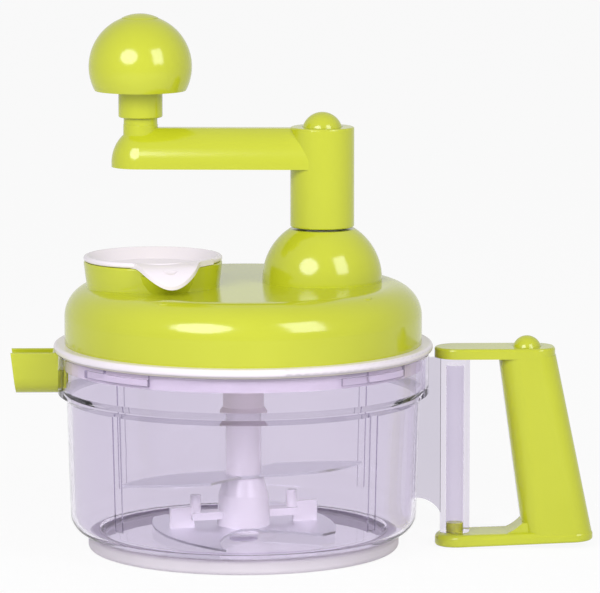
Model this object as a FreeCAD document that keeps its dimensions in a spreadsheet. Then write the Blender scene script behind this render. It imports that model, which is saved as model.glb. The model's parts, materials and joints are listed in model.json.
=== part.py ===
"""Hand-cranked food chopper: a parametric FreeCAD document, one solid object per real piece.

Frame: millimetres, +Z up. The origin is on the bowl's axis, in the plane that the base ring stands on.
+X points at the side handle. Lid pieces are drawn in a lid frame, turned by lid_turn about Z, in which
the crank axis lies on +X and the feed tube on -X. Crank pieces are drawn about the crank's own axis,
with +X along the arm.
"""
import FreeCAD, Part
import Sketcher
import math
import os
import re
from FreeCAD import Placement, Rotation, Vector

# ---------------------------------------------------------------- driving dimensions

# Driving sizes: the cells of the document's sheet.
SIZES = {
    # base ring and bowl
    "ring_thickness": 4.35, "ring_seat_gap": 0.15, "ring_grip": 2.7, "ring_lip": 5.0,
    "ring_ledge": 3.2, "ring_rounding": 2.2, "foot_height": 3.1, "foot_inset": 19.5,
    "foot_clearance": 0.1, "bowl_wall": 2.2, "wall_taper": 1.8, "wall_corner": 10.0,
    "floor_thickness": 2.7, "floor_corner": 8.0, "floor_slope_run": 2.6, "floor_step_inset": 0.4,
    "rim_top": 96.0, "collar_radius": 90.0, "collar_height": 19.5, "collar_wall": 3.0,
    "collar_step": 4.3, "rim_rounding": 0.6, "ledge_drop": 3.3, "ledge_rise": 3.0,
    "ledge_wall": 2.6, "rib_count": 4, "rib_width": 4.8, "rib_proud": 1.0, "rib_lift": 7.9,
    "rib_toe": 3.5, "rib_head": 1.3, "rib_turn": 45.0,
    # how far a cut or a buried end runs past the face it meets
    "overrun": 1.0,
    # bayonet
    "lug_count": 4, "lug_angle": 17.0, "lug_slack": 0.5, "twist_angle": 10.0,
    "bayonet_turn": 45.0, "lug_depth": 5.4, "lug_height": 3.0, "lug_proud": 1.8,
    "lug_clearance": 0.3,
    # floor pin
    "pin_radius": 2.5, "pin_rise": 8.2, "pin_seat_depth": 1.0, "pin_rounding": 1.2,
    "pin_boss_wall": 3.0, "pin_boss_height": 1.0, "pin_under_boss_wall": 4.5,
    "pin_under_boss_height": 2.5, "pin_top_gap": 1.5,
    # handle post and web
    "post_reach": 13.0, "post_radius": 7.25, "post_bore": 4.25, "post_foot_gap": 0.6,
    "post_drop": 3.2, "post_cap": 4.0, "web_thickness": 3.4, "web_drop": 0.2, "web_arch": 13.0,
    "web_rise_at_wall": 16.0, "web_bite": 0.25, "web_rise_at_post": 4.2, "stub_neck": 1.5,
    "stub_head": 2.5, "stub_head_height": 1.0, "stub_gap": 0.3,
    # spout
    "spout_length": 22.7, "spout_rake": 2.7, "spout_half_width": 8.8, "spout_drop": 19.8,
    "spout_gap": 0.3, "spout_wall": 1.8, "spout_plate": 2.2, "window_margin": 1.6,
    "window_sill": 2.8, "window_head": 0.9, "window_rounding": 1.0, "window_gap": 0.1,
    "tongue_proud": 1.4, "spout_corner_flat": 0.3, "spout_edge_rounding": 0.5,
    # handle
    "handle_gap": 1.0, "post_gap": 0.2, "plate_thickness": 5.0, "plate_half_width": 11.6,
    "plate_skin": 1.4, "plate_setback": 0.4, "finger_gap": 20.9, "grip_top_depth": 27.9,
    "grip_rake": 12.4, "grip_base_depth": 34.0, "grip_top_half_width": 11.5,
    "grip_base_half_width": 12.2, "grip_root": 1.2, "grip_rounding": 9.6, "grip_wall": 2.7,
    "foot_plate_lift": 0.2, "foot_plate_thickness": 6.0, "foot_plate_rounding": 2.4,
    "foot_plate_underside_rise": 3.0, "foot_plate_top_rise": 2.2, "foot_plate_setback": 0.5,
    "foot_plate_margin": 0.2, "foot_peg_height": 6.0, "peg_gap": 0.1, "gusset_run": 11.5,
    "gusset_rise": 6.0, "gusset_radius": 20.0, "gusset_inset": 3.05, "handle_edge_rounding": 1.2,
    "corner_flat": 0.3,
    # handle button and its latch strip
    "grip_button_radius": 6.8, "grip_button_rise": 5.2, "button_clearance": 0.15,
    "grip_button_skirt_depth": 3.4, "grip_button_skirt_inset": 1.2, "latch_travel": 2.4,
    "wedge_gap": 0.1, "wedge_left": -2.1, "wedge_right": 1.1, "wedge_width": 4.4,
    "wedge_toe": 1.0, "window_slack": 0.2, "latch_gap": 0.2, "strip_thickness": 1.2,
    "strip_half_width": 3.4, "strip_eye_half_width": 4.4, "strip_drop_run": 2.2,
    "strip_drop_offset": 0.9, "strip_sink": 3.0, "strip_tail": 6.5, "channel_skin": 1.0,
    "channel_slack": 0.5, "channel_end": 0.5, "eye_rim": 1.4, "shelf_sink": 4.0,
    "shelf_thickness": 1.4, "shelf_window_slack": 0.4, "spring_wire": 0.25,
    "grip_spring_inset": 1.0,
    # lid
    "lid_turn": 9.5, "seal_thickness": 0.9, "seal_inset": 0.3, "seal_setback": 0.4,
    "flange_overhang": 1.9, "flange_thickness": 3.7, "flange_rounding": 1.5, "skirt_gap": 0.5,
    "skirt_wall": 2.2, "skirt_depth": 8.0, "gear_floor_thickness": 2.5, "lip_height": 2.4,
    "lip_wall": 2.0, "cover_step": 5.3, "cover_wall": 2.4, "cover_height": 29.0,
    "cover_shoulder": 16.0, "dome_radius": 29.1, "dome_lift": 1.1, "dome_height": 24.3,
    "dome_wall": 2.6, "screw_inset": 12.6, "screw_boss_wall": 2.6, "screw_turn": 50.0,
    "screw_radius": 1.4, "screw_head_margin": 1.8, "screw_head_height": 1.8, "screw_length": 15.0,
    "screw_hole_slack": 0.3, "seat_gap": 0.2,
    # feed tube and egg separator
    "feed_wall": 2.2, "feed_flare": 1.3, "feed_rise": 11.8, "feed_flare_lift": 1.4,
    "feed_rim_rounding": 0.8, "feed_collar_wall": 1.4, "feed_collar_depth": 2.9,
    "feed_margin": 5.6, "train_gap": 0.5, "lip_bulge_reach": 7.5, "lip_bulge_radius": 13.5,
    "lip_bulge_drop": 3.4, "tab_clearance": 1.2, "dish_setback": 0.1, "dish_rim_thickness": 2.6,
    "dish_edge_rounding": 1.2, "dish_land": 1.8, "dish_skirt_gap": 0.4, "dish_skirt_wall": 1.4,
    "dish_skirt_depth": 8.0, "dish_sheet": 1.5, "dish_ring_inset": 4.0, "dish_ring_drop": 2.6,
    "yolk_radius": 12.0, "yolk_drop": 6.6, "yolk_depth": 5.4, "yolk_slope": 4.0,
    "yolk_rounding": 2.0, "tab_shift": 2.0, "tab_reach": 11.5, "tab_drop": 11.7,
    "tab_curve": 20.0, "tab_tip_half_width": 13.35, "tab_tip_sweep": 134.0,
    "tab_root_half_width": 15.8, "tab_root_inset": 3.1, "tab_root_radius": 9.0,
    "tab_flare_inset": 12.0, "tab_flare_margin": 1.7, "slot_inset": 3.5, "slot_width": 4.0,
    "slot_angle": 56.0, "moon_half_width": 3.6, "moon_radius": 4.1, "moon_reach": 5.2,
    # gear train
    "crank_offset": 39.0, "gear_teeth": 39, "pinion_teeth": 13, "pressure_angle": 25.0,
    "backlash": 0.2, "gear_lift": 0.5, "gear_face": 7.0, "gear_hub_wall": 4.0,
    "gear_hub_length": 13.0, "gear_web": 3.0, "tooth_addendum": 1.0, "tooth_dedendum": 1.25,
    "gear_rim": 3.5, "pinion_overlap": 0.4, "pinion_flange_margin": 1.5,
    "running_clearance": 0.05, "thrust_gap": 0.1, "socket_radius": 10.0, "socket_length": 34.4,
    "socket_flare_margin": 1.5, "socket_flare_height": 3.0, "socket_depth": 23.0,
    "socket_mouth": 2.0, "fin_count": 3, "fin_core_radius": 4.5, "fin_reach": 6.6,
    "fin_thickness": 3.0, "fin_clearance": 0.35, "fin_end_gap": 2.0, "spigot_hexagon": 9.0,
    "socket_boss_wall": 2.2, "socket_boss_depth": 6.9, "pinion_screw_radius": 1.5,
    "pinion_screw_head": 3.5, "pinion_screw_head_height": 2.0, "pinion_screw_length": 12.0,
    # crank shaft and bushes
    "shaft_radius": 5.0, "journal_step": 1.0, "journal_gap": 0.3, "bush_wall": 2.0,
    "bush_flange": 0.8, "bush_flange_margin": 4.0, "bush_boss_margin": 1.0,
    "bush_boss_height": 4.2, "upper_bush_wall": 3.5, "upper_bush_length": 9.0,
    "hexagon_relief": 0.06, "hexagon_gap": 0.1, "hexagon_end_gap": 0.5, "shaft_neck": 1.5,
    "shaft_head": 2.6, "shaft_head_gap": 0.3, "shaft_head_height": 1.4,
    "shaft_head_rounding": 0.45,
    # crank
    "arm_turn": 177.0, "crank_reach": 88.0, "column_gap": 1.0, "column_radius": 15.5,
    "column_height": 48.6, "column_rounding": 0.8, "column_wall": 2.4, "column_core_wall": 3.0,
    "core_depth": 20.0, "latch_chamber_depth": 23.6, "latch_chamber_height": 7.0,
    "chamber_half_width": 4.4, "arm_drop": 0.6, "arm_height": 19.0, "arm_inset": 1.3,
    "arm_crown": 3.0, "crown_inset": 0.33, "arm_cheek": 2.0, "arm_edge_radius": 19.0,
    "arm_edge_turn": 25.0, "arm_wall": 2.3, "arm_web": 3.5, "boss_radius": 8.4, "boss_rise": 1.6,
    "boss_root": 4.0, "boss_rounding": 0.15, "neck_inset": 0.2, "neck_rise": 3.1,
    "crank_button_radius": 9.5, "crank_button_gap": 0.2, "crank_button_rise": 7.2,
    "crank_button_skirt_depth": 8.0, "crank_spring_radius": 5.2, "keyhole_thickness": 2.0,
    "keyhole_rise": 2.2, "keyhole_lift": 0.1, "keyhole_left": 8.0, "keyhole_right": 5.2,
    "keyhole_side_gap": 0.2, "push_wall": 1.2, "push_wall_half_width": 2.6, "foot_back": 9.3,
    "foot_width": 3.6, "foot_toe": 1.1,
    # knob
    "knob_gap": 0.3, "knob_collar_radius": 10.7, "knob_collar_height": 13.3, "knob_radius": 25.0,
    "knob_cut": 11.6, "knob_rounding": 0.8, "bolt_radius": 3.0, "bolt_thread_step": 0.5,
    "bolt_thread_length": 14.7, "bolt_head_margin": 2.5, "bolt_head_lift": 10.2,
    "bolt_head_height": 4.0, "bolt_head_rounding": 1.0, "bolt_head_gap": 0.2,
    "bolt_well_gap": 0.7, "cap_radius": 8.8, "cap_gap": 0.1, "cap_depth": 3.3,
    "cap_edge_rise": 0.3, "cap_crown": 2.0,
    # blade unit
    "blade_thickness": 1.2, "blade_foot_radius": 16.0, "blade_foot_thickness": 1.4,
    "blade_foot_rounding": 0.45, "blade_gap": 2.4, "blade_spacing": 25.2, "hub_radius": 13.0,
    "hub_taper": 0.8, "hub_straight": 16.4, "hub_top_radius": 9.6, "hub_top_rounding": 1.5,
    "hub_spigot_radius": 5.8, "hub_spigot_length": 4.0, "hub_spigot_gap": 0.1,
    "column_stem_radius": 8.75, "stem_gap": 0.4, "blade_arm_turn": 197.0, "blade_arm_reach": 27.0,
    "blade_arm_width": 9.0, "blade_arm_lift": 5.0, "blade_arm_thickness": 3.6, "peg_offset": 24.5,
    "peg_radius": 2.6, "peg_height": 8.4, "paddle_length": 10.6, "paddle_thickness": 2.6,
    "paddle_height": 2.7, "paddle_rounding": 0.8, "lower_edge_sweep": 100.0,
    "lower_tip_angle": 7.6, "lower_heel_reach": 48.3, "lower_heel_angle": 24.4,
    "heel_cut_run": 6.0, "heel_cut_rise": 7.0, "lower_back_sweep": 62.0, "upper_edge_sweep": 60.0,
    "upper_root_x": 16.0, "upper_root_y": -4.0, "upper_tip_angle": 28.5, "upper_tip_setback": 1.0,
    "upper_back_sweep": 110.0, "upper_heel_drop": 4.0, "wing_inset": 1.5,
}

# Sizes that follow from the driving ones, so that what fits together keeps fitting.
DERIVED = {
    # base ring and bowl
    "bowl_underside": "ring_thickness + ring_seat_gap",
    "ring_height": "bowl_underside + ring_grip",
    "foot_radius": "collar_radius - foot_inset",
    "ring_radius": "foot_radius + foot_clearance + ring_lip",
    "ring_inner_radius": "foot_radius - ring_ledge",
    "foot_top": "bowl_underside + foot_height",
    "floor_top": "bowl_underside + floor_thickness",
    "wall_top_radius": "collar_radius - collar_step",
    "wall_foot_radius": "wall_top_radius - wall_taper",
    "collar_bottom": "rim_top - collar_height",
    "wall_top": "collar_bottom - ledge_drop",
    "rib_bottom": "foot_top + rib_lift",
    "lug_bottom": "rim_top - lug_depth",
    # floor pin
    "pin_seat": "bowl_underside - pin_seat_depth",
    "pin_top": "upper_blade_height + pin_rise",
    "pin_boss_radius": "pin_radius + pin_boss_wall",
    "pin_boss_top": "floor_top + pin_boss_height",
    "pin_under_boss_radius": "pin_radius + pin_under_boss_wall",
    "pin_under_boss_bottom": "bowl_underside - pin_under_boss_height",
    # handle post and web
    "post_offset": "collar_radius + post_reach",
    "post_bottom": "foot_plate_high_left + post_foot_gap",
    "post_top": "rim_top - post_drop",
    "web_top": "post_top - web_drop",
    "web_bottom_at_wall": "foot_top + web_rise_at_wall",
    "web_bottom_at_post": "post_bottom + web_rise_at_post",
    "stub_head_bottom": "channel_bottom + strip_thickness + latch_gap",
    "stub_top": "stub_head_bottom + stub_head_height",
    # spout
    "spout_end": "collar_radius + spout_length",
    "spout_end_low": "spout_end - spout_rake",
    "spout_bottom": "rim_top - spout_drop",
    "spout_top": "flange_bottom - spout_gap",
    "window_half_width": "spout_half_width - window_margin",
    "window_bottom": "spout_bottom + window_sill",
    "window_top": "skirt_bottom - window_head",
    "spout_tongue": "collar_wall + tongue_proud",
    # handle
    "plate_left": "flange_radius + handle_gap",
    "plate_right": "grip_top_right - plate_setback",
    "plate_bottom": "post_top + post_gap",
    "plate_top": "plate_bottom + plate_thickness",
    "grip_top_left": "post_offset + finger_gap",
    "grip_top_right": "grip_top_left + grip_top_depth",
    "grip_base_left": "grip_top_left + grip_rake",
    "grip_base_right": "grip_base_left + grip_base_depth",
    "grip_base": "foot_plate_high_left - grip_root",
    "foot_plate_left": "plate_left + foot_plate_setback",
    "foot_plate_low_left": "foot_plate_lift",
    "foot_plate_low_right": "foot_plate_lift + foot_plate_underside_rise",
    "foot_plate_high_left": "foot_plate_lift + foot_plate_thickness",
    "foot_plate_high_right": "foot_plate_high_left + foot_plate_top_rise",
    "foot_plate_half_width": "grip_base_half_width + foot_plate_margin",
    # handle button and its latch strip
    "channel_bottom": "plate_bottom + channel_skin",
    "channel_half_width": "strip_eye_half_width + channel_slack",
    "channel_left": "strip_left - channel_end",
    "grip_button_offset": "(grip_top_left + grip_top_right) / 2",
    "grip_button_skirt": "plate_top - grip_button_skirt_depth",
    "grip_button_step": "plate_top - plate_skin - latch_gap",
    "grip_button_skirt_radius": "grip_button_radius - grip_button_skirt_inset",
    "grip_spring_radius": "grip_button_skirt_radius - grip_spring_inset",
    "shelf_bottom": "plate_bottom - shelf_sink",
    "shelf_top": "shelf_bottom + shelf_thickness",
    "shelf_window_half_width": "strip_half_width + shelf_window_slack",
    "strip_left": "post_offset - latch_travel - stub_head - latch_gap - eye_rim",
    "strip_bend": "grip_top_left + grip_wall + stub_gap",
    "strip_low": "shelf_bottom - strip_sink",
    "strip_right": "grip_button_offset + strip_tail",
    # lid
    "flange_radius": "collar_radius + flange_overhang",
    "flange_bottom": "rim_top + seal_thickness",
    "flange_top": "flange_bottom + flange_thickness",
    "skirt_radius": "collar_radius - collar_wall - skirt_gap",
    "skirt_bottom": "flange_bottom - skirt_depth",
    "gear_floor_bottom": "flange_bottom",
    "gear_floor_top": "gear_floor_bottom + gear_floor_thickness",
    "locating_lip_top": "flange_top + lip_height",
    "cover_radius": "flange_radius - cover_step",
    "cover_top": "flange_top + cover_height",
    "seal_inner_radius": "skirt_radius + seal_inset",
    "seal_outer_radius": "collar_radius - seal_setback",
    "dome_centre": "cover_top + dome_lift",
    "dome_top": "dome_centre + dome_height",
    "screw_ring_radius": "cover_radius - screw_inset",
    "screw_boss_radius": "screw_radius + screw_boss_wall",
    "screw_head_radius": "screw_radius + screw_head_margin",
    # feed tube, as large as the room between the gear train and the lid's rim allows
    "train_radius": "max(pinion_tip_radius; pinion_flange_radius) + train_gap",
    "room_radius": "cover_radius - cover_wall - seat_gap - lip_wall - feed_margin",
    "feed_radius": "(room_radius - (train_radius)) / 2",
    "feed_bore": "feed_radius - feed_wall",
    "feed_offset": "feed_radius + train_radius",
    "feed_rim_radius": "feed_radius + feed_flare",
    "feed_rim": "cover_top + feed_rise",
    "feed_flare_start": "cover_top + feed_flare_lift",
    "feed_throat_radius": "feed_bore + feed_collar_wall",
    "feed_throat_bottom": "gear_floor_bottom - feed_collar_depth",
    # egg separator
    "dish_radius": "feed_rim_radius - dish_setback",
    "dish_skirt_radius": "feed_bore - dish_skirt_gap",
    "dish_skirt_bottom": "feed_rim - dish_skirt_depth",
    "dish_ring_radius": "feed_bore - dish_ring_inset",
    "dish_ring_height": "feed_rim + seat_gap - dish_ring_drop",
    "yolk_edge": "feed_rim + seat_gap - yolk_drop",
    "yolk_bottom": "yolk_edge - yolk_depth",
    "tab_end": "feed_rim_radius + tab_reach",
    "tab_tip_radius": "tab_tip_half_width / sin(tab_tip_sweep / 2)",
    "tab_nose_reach": "tab_end - tab_tip_half_width * tan(tab_tip_sweep / 4)",
    "tab_root_reach": "feed_rim_radius - tab_root_inset",
    "tab_flare_reach": "feed_rim_radius - tab_flare_inset",
    "tab_flare_half_width": "sqrt((feed_rim_radius) ^ 2 - (tab_flare_reach) ^ 2) - tab_flare_margin",
    "tab_tip": "feed_rim + seat_gap + dish_rim_thickness - tab_drop",
    "bulge_end": "feed_rim_radius + lip_bulge_reach",
    "slot_inner_radius": "yolk_radius + slot_inset",
    "slot_outer_radius": "slot_inner_radius + slot_width",
    "moon_flat": "feed_rim_radius + moon_reach",
    # gear train
    "gear_tip_radius": "crank_offset * (gear_teeth + 2 * tooth_addendum) / (gear_teeth + pinion_teeth)",
    "pinion_tip_radius": "crank_offset * (pinion_teeth + 2 * tooth_addendum) / (gear_teeth + pinion_teeth)",
    "bush_boss_top": "gear_floor_top + bush_boss_height",
    "shaft_shoulder": "bush_boss_top + bush_flange + thrust_gap",
    "gear_bottom": "shaft_shoulder + gear_lift",
    "gear_hub_radius": "shaft_radius + gear_hub_wall",
    "gear_hub_top": "gear_bottom + gear_hub_length",
    "pinion_bottom": "gear_bottom - pinion_overlap",
    "pinion_face": "gear_face + 2 * pinion_overlap",
    "pinion_top": "pinion_bottom + pinion_face",
    "pinion_flange_radius": "socket_radius + pinion_flange_margin",
    "socket_bottom": "gear_floor_top - socket_length",
    "socket_flare": "socket_radius + socket_flare_margin",
    "socket_boss_radius": "socket_radius + socket_boss_wall",
    "socket_boss_bottom": "gear_floor_bottom - socket_boss_depth",
    # crank shaft and bushes
    "journal_radius": "shaft_radius - journal_step",
    "journal_bottom": "gear_floor_top + journal_gap",
    "bush_flange_radius": "journal_radius + bush_flange_margin",
    "bush_boss_radius": "bush_flange_radius + bush_boss_margin",
    "upper_bush_radius": "shaft_radius + upper_bush_wall",
    "upper_bush_bottom": "dome_top - upper_bush_length",
    "crank_hexagon": "2 * shaft_radius * cos(30) - hexagon_relief",
    "hexagon_top": "latch_chamber_bottom - hexagon_end_gap",
    "shaft_head_bottom": "latch_chamber_bottom + keyhole_lift + keyhole_thickness + shaft_head_gap",
    "shaft_head_top": "shaft_head_bottom + shaft_head_height",
    # crank
    "column_bottom": "dome_top + column_gap",
    "column_top": "column_bottom + column_height",
    "column_core_radius": "shaft_radius + column_core_wall",
    "core_top": "column_bottom + core_depth",
    "latch_chamber_bottom": "column_top - latch_chamber_depth",
    "latch_chamber_top": "latch_chamber_bottom + latch_chamber_height",
    "button_bore": "crank_button_radius + crank_button_gap",
    "arm_top": "column_top - arm_drop",
    "arm_bottom": "arm_top - arm_height",
    "arm_half_width": "column_radius - arm_inset",
    "arm_spring_line": "arm_bottom + arm_cheek",
    "boss_top": "arm_top + boss_rise",
    "neck_radius": "boss_radius - neck_inset",
    "neck_top": "boss_top + neck_rise",
    "crank_button_skirt": "column_top - crank_button_skirt_depth",
    # knob
    "knob_flat": "neck_top + knob_collar_height",
    "knob_centre": "knob_flat + knob_cut",
    "bolt_thread_radius": "bolt_radius - bolt_thread_step",
    "bolt_tip": "neck_top - bolt_thread_length",
    "bolt_head_radius": "bolt_radius + bolt_head_margin",
    "bolt_head_bottom": "knob_flat + bolt_head_lift",
    "bolt_well_radius": "bolt_head_radius + bolt_well_gap",
    "cap_seat_radius": "cap_radius + cap_gap",
    "cap_seat_top": "knob_centre + sqrt(knob_radius ^ 2 - (cap_seat_radius) ^ 2)",
    "cap_bottom": "cap_seat_top - cap_depth",
    "cap_edge": "cap_seat_top + cap_edge_rise",
    "cap_top": "cap_edge + cap_crown",
    # blade unit
    "lower_blade_height": "pin_boss_top + blade_foot_thickness",
    "lower_blade_top": "lower_blade_height + blade_thickness",
    "upper_blade_height": "lower_blade_height + blade_spacing",
    "hub_shoulder_radius": "hub_radius - hub_taper",
    "hub_shoulder": "lower_blade_height + hub_straight",
    "stem_top": "socket_bottom - stem_gap",
    "fin_top": "socket_bottom + socket_depth - fin_end_gap",
    "blade_arm_bottom": "lower_blade_height + blade_arm_lift",
    "blade_arm_top": "blade_arm_bottom + blade_arm_thickness",
    "paddle_outer": "blade_arm_reach + paddle_length",
    "paddle_top": "blade_arm_top + paddle_height",
    "blade_reach": "foot_radius - blade_gap",
    "lower_tip_x": "-(blade_reach) * sin(lower_tip_angle)",
    "lower_tip_y": "-(blade_reach) * cos(lower_tip_angle)",
    "lower_heel_x": "-lower_heel_reach * cos(lower_heel_angle)",
    "lower_heel_y": "lower_heel_reach * sin(lower_heel_angle)",
    "upper_tip_x": "(blade_reach - upper_tip_setback) * cos(upper_tip_angle)",
    "upper_tip_y": "(blade_reach - upper_tip_setback) * sin(upper_tip_angle)",
}

doc = FreeCAD.newDocument("CrankFoodChopper")
dims = doc.addObject("Spreadsheet::Sheet", "dims")
for row, (alias, size) in enumerate(SIZES.items(), start=1):
    dims.set(f"A{row}", alias)
    dims.set(f"B{row}", str(size))
    dims.setAlias(f"B{row}", alias)
doc.recompute()

NAMES = re.compile(r"\b(" + "|".join([*SIZES, *DERIVED]) + r")\b")
parts = []


def bound(expression):
    """The expression with each derived size written out and each driving size pointing at its cell."""
    def spelled_out(match):
        name = match.group(1)
        return f"({bound(DERIVED[name])})" if name in DERIVED else f"dims.{name}"
    return NAMES.sub(spelled_out, str(expression))


def number(expression):
    """What an expression over the sheet comes to."""
    return float(parts[0].evalExpression(bound(expression)))


# ---------------------------------------------------------------- sketches

def constrain(sketch, kind, *arguments):
    """Adds a constraint. When the last argument is an expression, the constraint follows it."""
    *geometry, size = arguments
    if not isinstance(size, str):
        return sketch.addConstraint(Sketcher.Constraint(kind, *arguments))
    index = sketch.addConstraint(Sketcher.Constraint(kind, *geometry, number(size)))
    sketch.setExpression(f"Constraints[{index}]", bound(size))
    return index


def pin_point(sketch, geometry, end, x, y):
    """Holds one point of a sketch at two expressions."""
    constrain(sketch, "DistanceX", -1, 1, geometry, end, str(x))
    constrain(sketch, "DistanceY", -1, 1, geometry, end, str(y))


def add_arc(sketch, start, finish, radius):
    """An arc from start to finish, turning left for a positive radius and right for a negative one.
    Returns the geometry's index and which of its ends come first and last."""
    chord = finish - start
    height = math.sqrt(max(radius * radius - chord.Length ** 2 / 4, 0.0))
    left = Vector(-chord.y, chord.x, 0).normalize()
    centre = (start + finish) * 0.5 + left * (height if radius > 0 else -height)
    circle = Part.Circle(centre, Vector(0, 0, 1), abs(radius))
    first, last = (start, finish) if radius > 0 else (finish, start)
    arc = Part.ArcOfCircle(circle, circle.parameter(first), circle.parameter(last))
    index = sketch.addGeometry(arc)
    return (index, 1, 2) if radius > 0 else (index, 2, 1)


def outline(sketch, *items):
    """Closes a loop through corners given as (x, y) or (x, y, rounding), all of them expressions.
    A bare expression between two corners makes that edge an arc of that radius, turning left when it
    is positive and right when it is negative."""
    corners = []
    arcs = {}
    for item in items:
        if isinstance(item, tuple):
            corners.append(item)
        else:
            arcs[len(corners) - 1] = item
    count = len(corners)
    points = [Vector(number(c[0]), number(c[1]), 0) for c in corners]
    rounding = [number(c[2]) if len(c) > 2 else 0.0 for c in corners]
    leave = []
    arrive = []
    for i in range(count):
        back = (points[i - 1] - points[i]).normalize()
        ahead = (points[(i + 1) % count] - points[i]).normalize()
        reach = rounding[i] / math.tan(back.getAngle(ahead) / 2) if rounding[i] else 0.0
        arrive.append(points[i] + back * reach)
        leave.append(points[i] + ahead * reach)
    edges = []
    for i in range(count):
        start, finish = leave[i], arrive[(i + 1) % count]
        if i in arcs:
            edges.append(add_arc(sketch, start, finish, number(arcs[i])))
        else:
            edges.append((sketch.addGeometry(Part.LineSegment(start, finish)), 1, 2))
    for i in range(count):
        before, after = edges[i - 1], edges[i]
        if not rounding[i]:
            constrain(sketch, "Coincident", before[0], before[2], after[0], after[1])
            pin_point(sketch, after[0], after[1], corners[i][0], corners[i][1])
            continue
        back, ahead = points[i - 1] - points[i], points[(i + 1) % count] - points[i]
        turns_left = back.cross(ahead).z < 0
        radius = rounding[i] if turns_left else -rounding[i]
        corner = add_arc(sketch, arrive[i], leave[i], radius)
        constrain(sketch, "Tangent", before[0], before[2], corner[0], corner[1])
        constrain(sketch, "Tangent", corner[0], corner[2], after[0], after[1])
        constrain(sketch, "Radius", corner[0], str(corners[i][2]))
        apex = sketch.addGeometry(Part.Point(points[i]), True)
        pin_point(sketch, apex, 1, corners[i][0], corners[i][1])
        constrain(sketch, "PointOnObject", apex, 1, before[0])
        constrain(sketch, "PointOnObject", apex, 1, after[0])
    for i, radius in arcs.items():
        constrain(sketch, "Radius", edges[i][0], f"abs({radius})")


def circle(sketch, x, y, radius):
    """A full circle."""
    index = sketch.addGeometry(Part.Circle(Vector(number(x), number(y), 0), Vector(0, 0, 1), number(radius)))
    pin_point(sketch, index, 3, x, y)
    constrain(sketch, "Radius", index, str(radius))


def box_outline(sketch, left, right, low, high, rounding=None):
    """A rectangle, with rounded corners when rounding is given."""
    corners = [(left, low), (right, low), (right, high), (left, high)]
    outline(sketch, *[c if rounding is None else (*c, rounding) for c in corners])


def hexagon(sketch, across_flats):
    """A hexagon round the sketch's origin, with two corners on its x axis."""
    reach = f"({across_flats}) / 2 / cos(30)"
    outline(sketch, *[(f"{reach} * cos({60 * k})", f"{reach} * sin({60 * k})") for k in range(6)])


# ---------------------------------------------------------------- bodies and features

def new_body(name):
    """A body that stands for one real piece."""
    body = doc.addObject("PartDesign::Body", name)
    body.Label = name
    parts.append(body)
    return body


def place(piece, x="0", y="0", turn="0"):
    """Stands a piece at x, y, turned about Z, all bound to the sheet."""
    piece.Placement = Placement(Vector(), Rotation(Vector(0, 0, 1), number(turn)))
    piece.setExpression("Placement.Base.x", bound(x))
    piece.setExpression("Placement.Base.y", bound(y))
    piece.setExpression("Placement.Rotation.Angle", bound(turn))
    return piece


def place_on_lid(piece):
    """Turns a piece with the lid."""
    return place(piece, turn="lid_turn")


def place_on_crank(piece):
    """Stands a piece on the crank's axis, its +X along the arm."""
    return place(piece, "crank_offset * cos(lid_turn)", "crank_offset * sin(lid_turn)", "arm_turn")


def new_sketch(body, name, plane, draw, along="0", lift="0", turn=None):
    """A sketch on one of the body's origin planes: moved along its x axis, lifted along its normal, or
    turned about the body's Z axis. draw fills it."""
    sketch = body.newObject("Sketcher::SketchObject", name)
    support = next(f for f in body.Origin.OriginFeatures if f.Role == plane)
    sketch.AttachmentSupport = (support, "")
    sketch.MapMode = "FlatFace"
    if turn is not None:
        axis = Vector(0, 0, 1) if plane == "XY_Plane" else Vector(0, 1, 0)
        sketch.AttachmentOffset = Placement(Vector(), Rotation(axis, number(turn)))
        sketch.setExpression("AttachmentOffset.Rotation.Angle", bound(turn))
    sketch.setExpression("AttachmentOffset.Base.x", bound(along))
    sketch.setExpression("AttachmentOffset.Base.z", bound(lift))
    for loop in draw if isinstance(draw, list) else [draw]:
        loop(sketch)
    return sketch


def lines(*items):
    """A loop for new_sketch, given as for outline."""
    return lambda sketch: outline(sketch, *items)


def disc(x, y, radius):
    """A circle for new_sketch."""
    return lambda sketch: circle(sketch, x, y, radius)


def rectangle(left, right, low, high, rounding=None):
    """A rectangle for new_sketch."""
    return lambda sketch: box_outline(sketch, left, right, low, high, rounding)


def turned(body, name, draw, cut=False, along="0", turn=None, angle=None):
    """Turns a half section about a vertical axis, whole or through an angle centred on its plane."""
    kind = "PartDesign::Groove" if cut else "PartDesign::Revolution"
    sketch = new_sketch(body, name + "_section", "XZ_Plane", draw, along=along, turn=turn)
    feature = body.newObject(kind, name)
    feature.Profile = sketch
    feature.ReferenceAxis = (sketch, ["V_Axis"])
    feature.Angle = 360.0
    if angle is not None:
        feature.Midplane = True
        feature.setExpression("Angle", bound(angle))
    return feature


def extruded(body, name, plane, draw, length, cut=False, both=False, along="0", lift="0", turn=None):
    """Pads or pockets a closed outline along its plane's normal, or to both sides of it."""
    kind = "PartDesign::Pocket" if cut else "PartDesign::Pad"
    sketch = new_sketch(body, name + "_outline", plane, draw, along=along, lift=lift, turn=turn)
    feature = body.newObject(kind, name)
    feature.Profile = sketch
    feature.setExpression("Length", bound(length))
    feature.Midplane = both
    feature.Reversed = cut
    return feature


def lofted(body, name, sections, cut=False):
    """Lofts through horizontal outlines given as (lift, draw)."""
    kind = "PartDesign::SubtractiveLoft" if cut else "PartDesign::AdditiveLoft"
    sketches = [new_sketch(body, f"{name}_section{i}", "XY_Plane", draw, lift=lift)
                for i, (lift, draw) in enumerate(sections)]
    feature = body.newObject(kind, name)
    feature.Profile = sketches[0]
    feature.Sections = sketches[1:]
    feature.Ruled = True
    return feature


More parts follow.
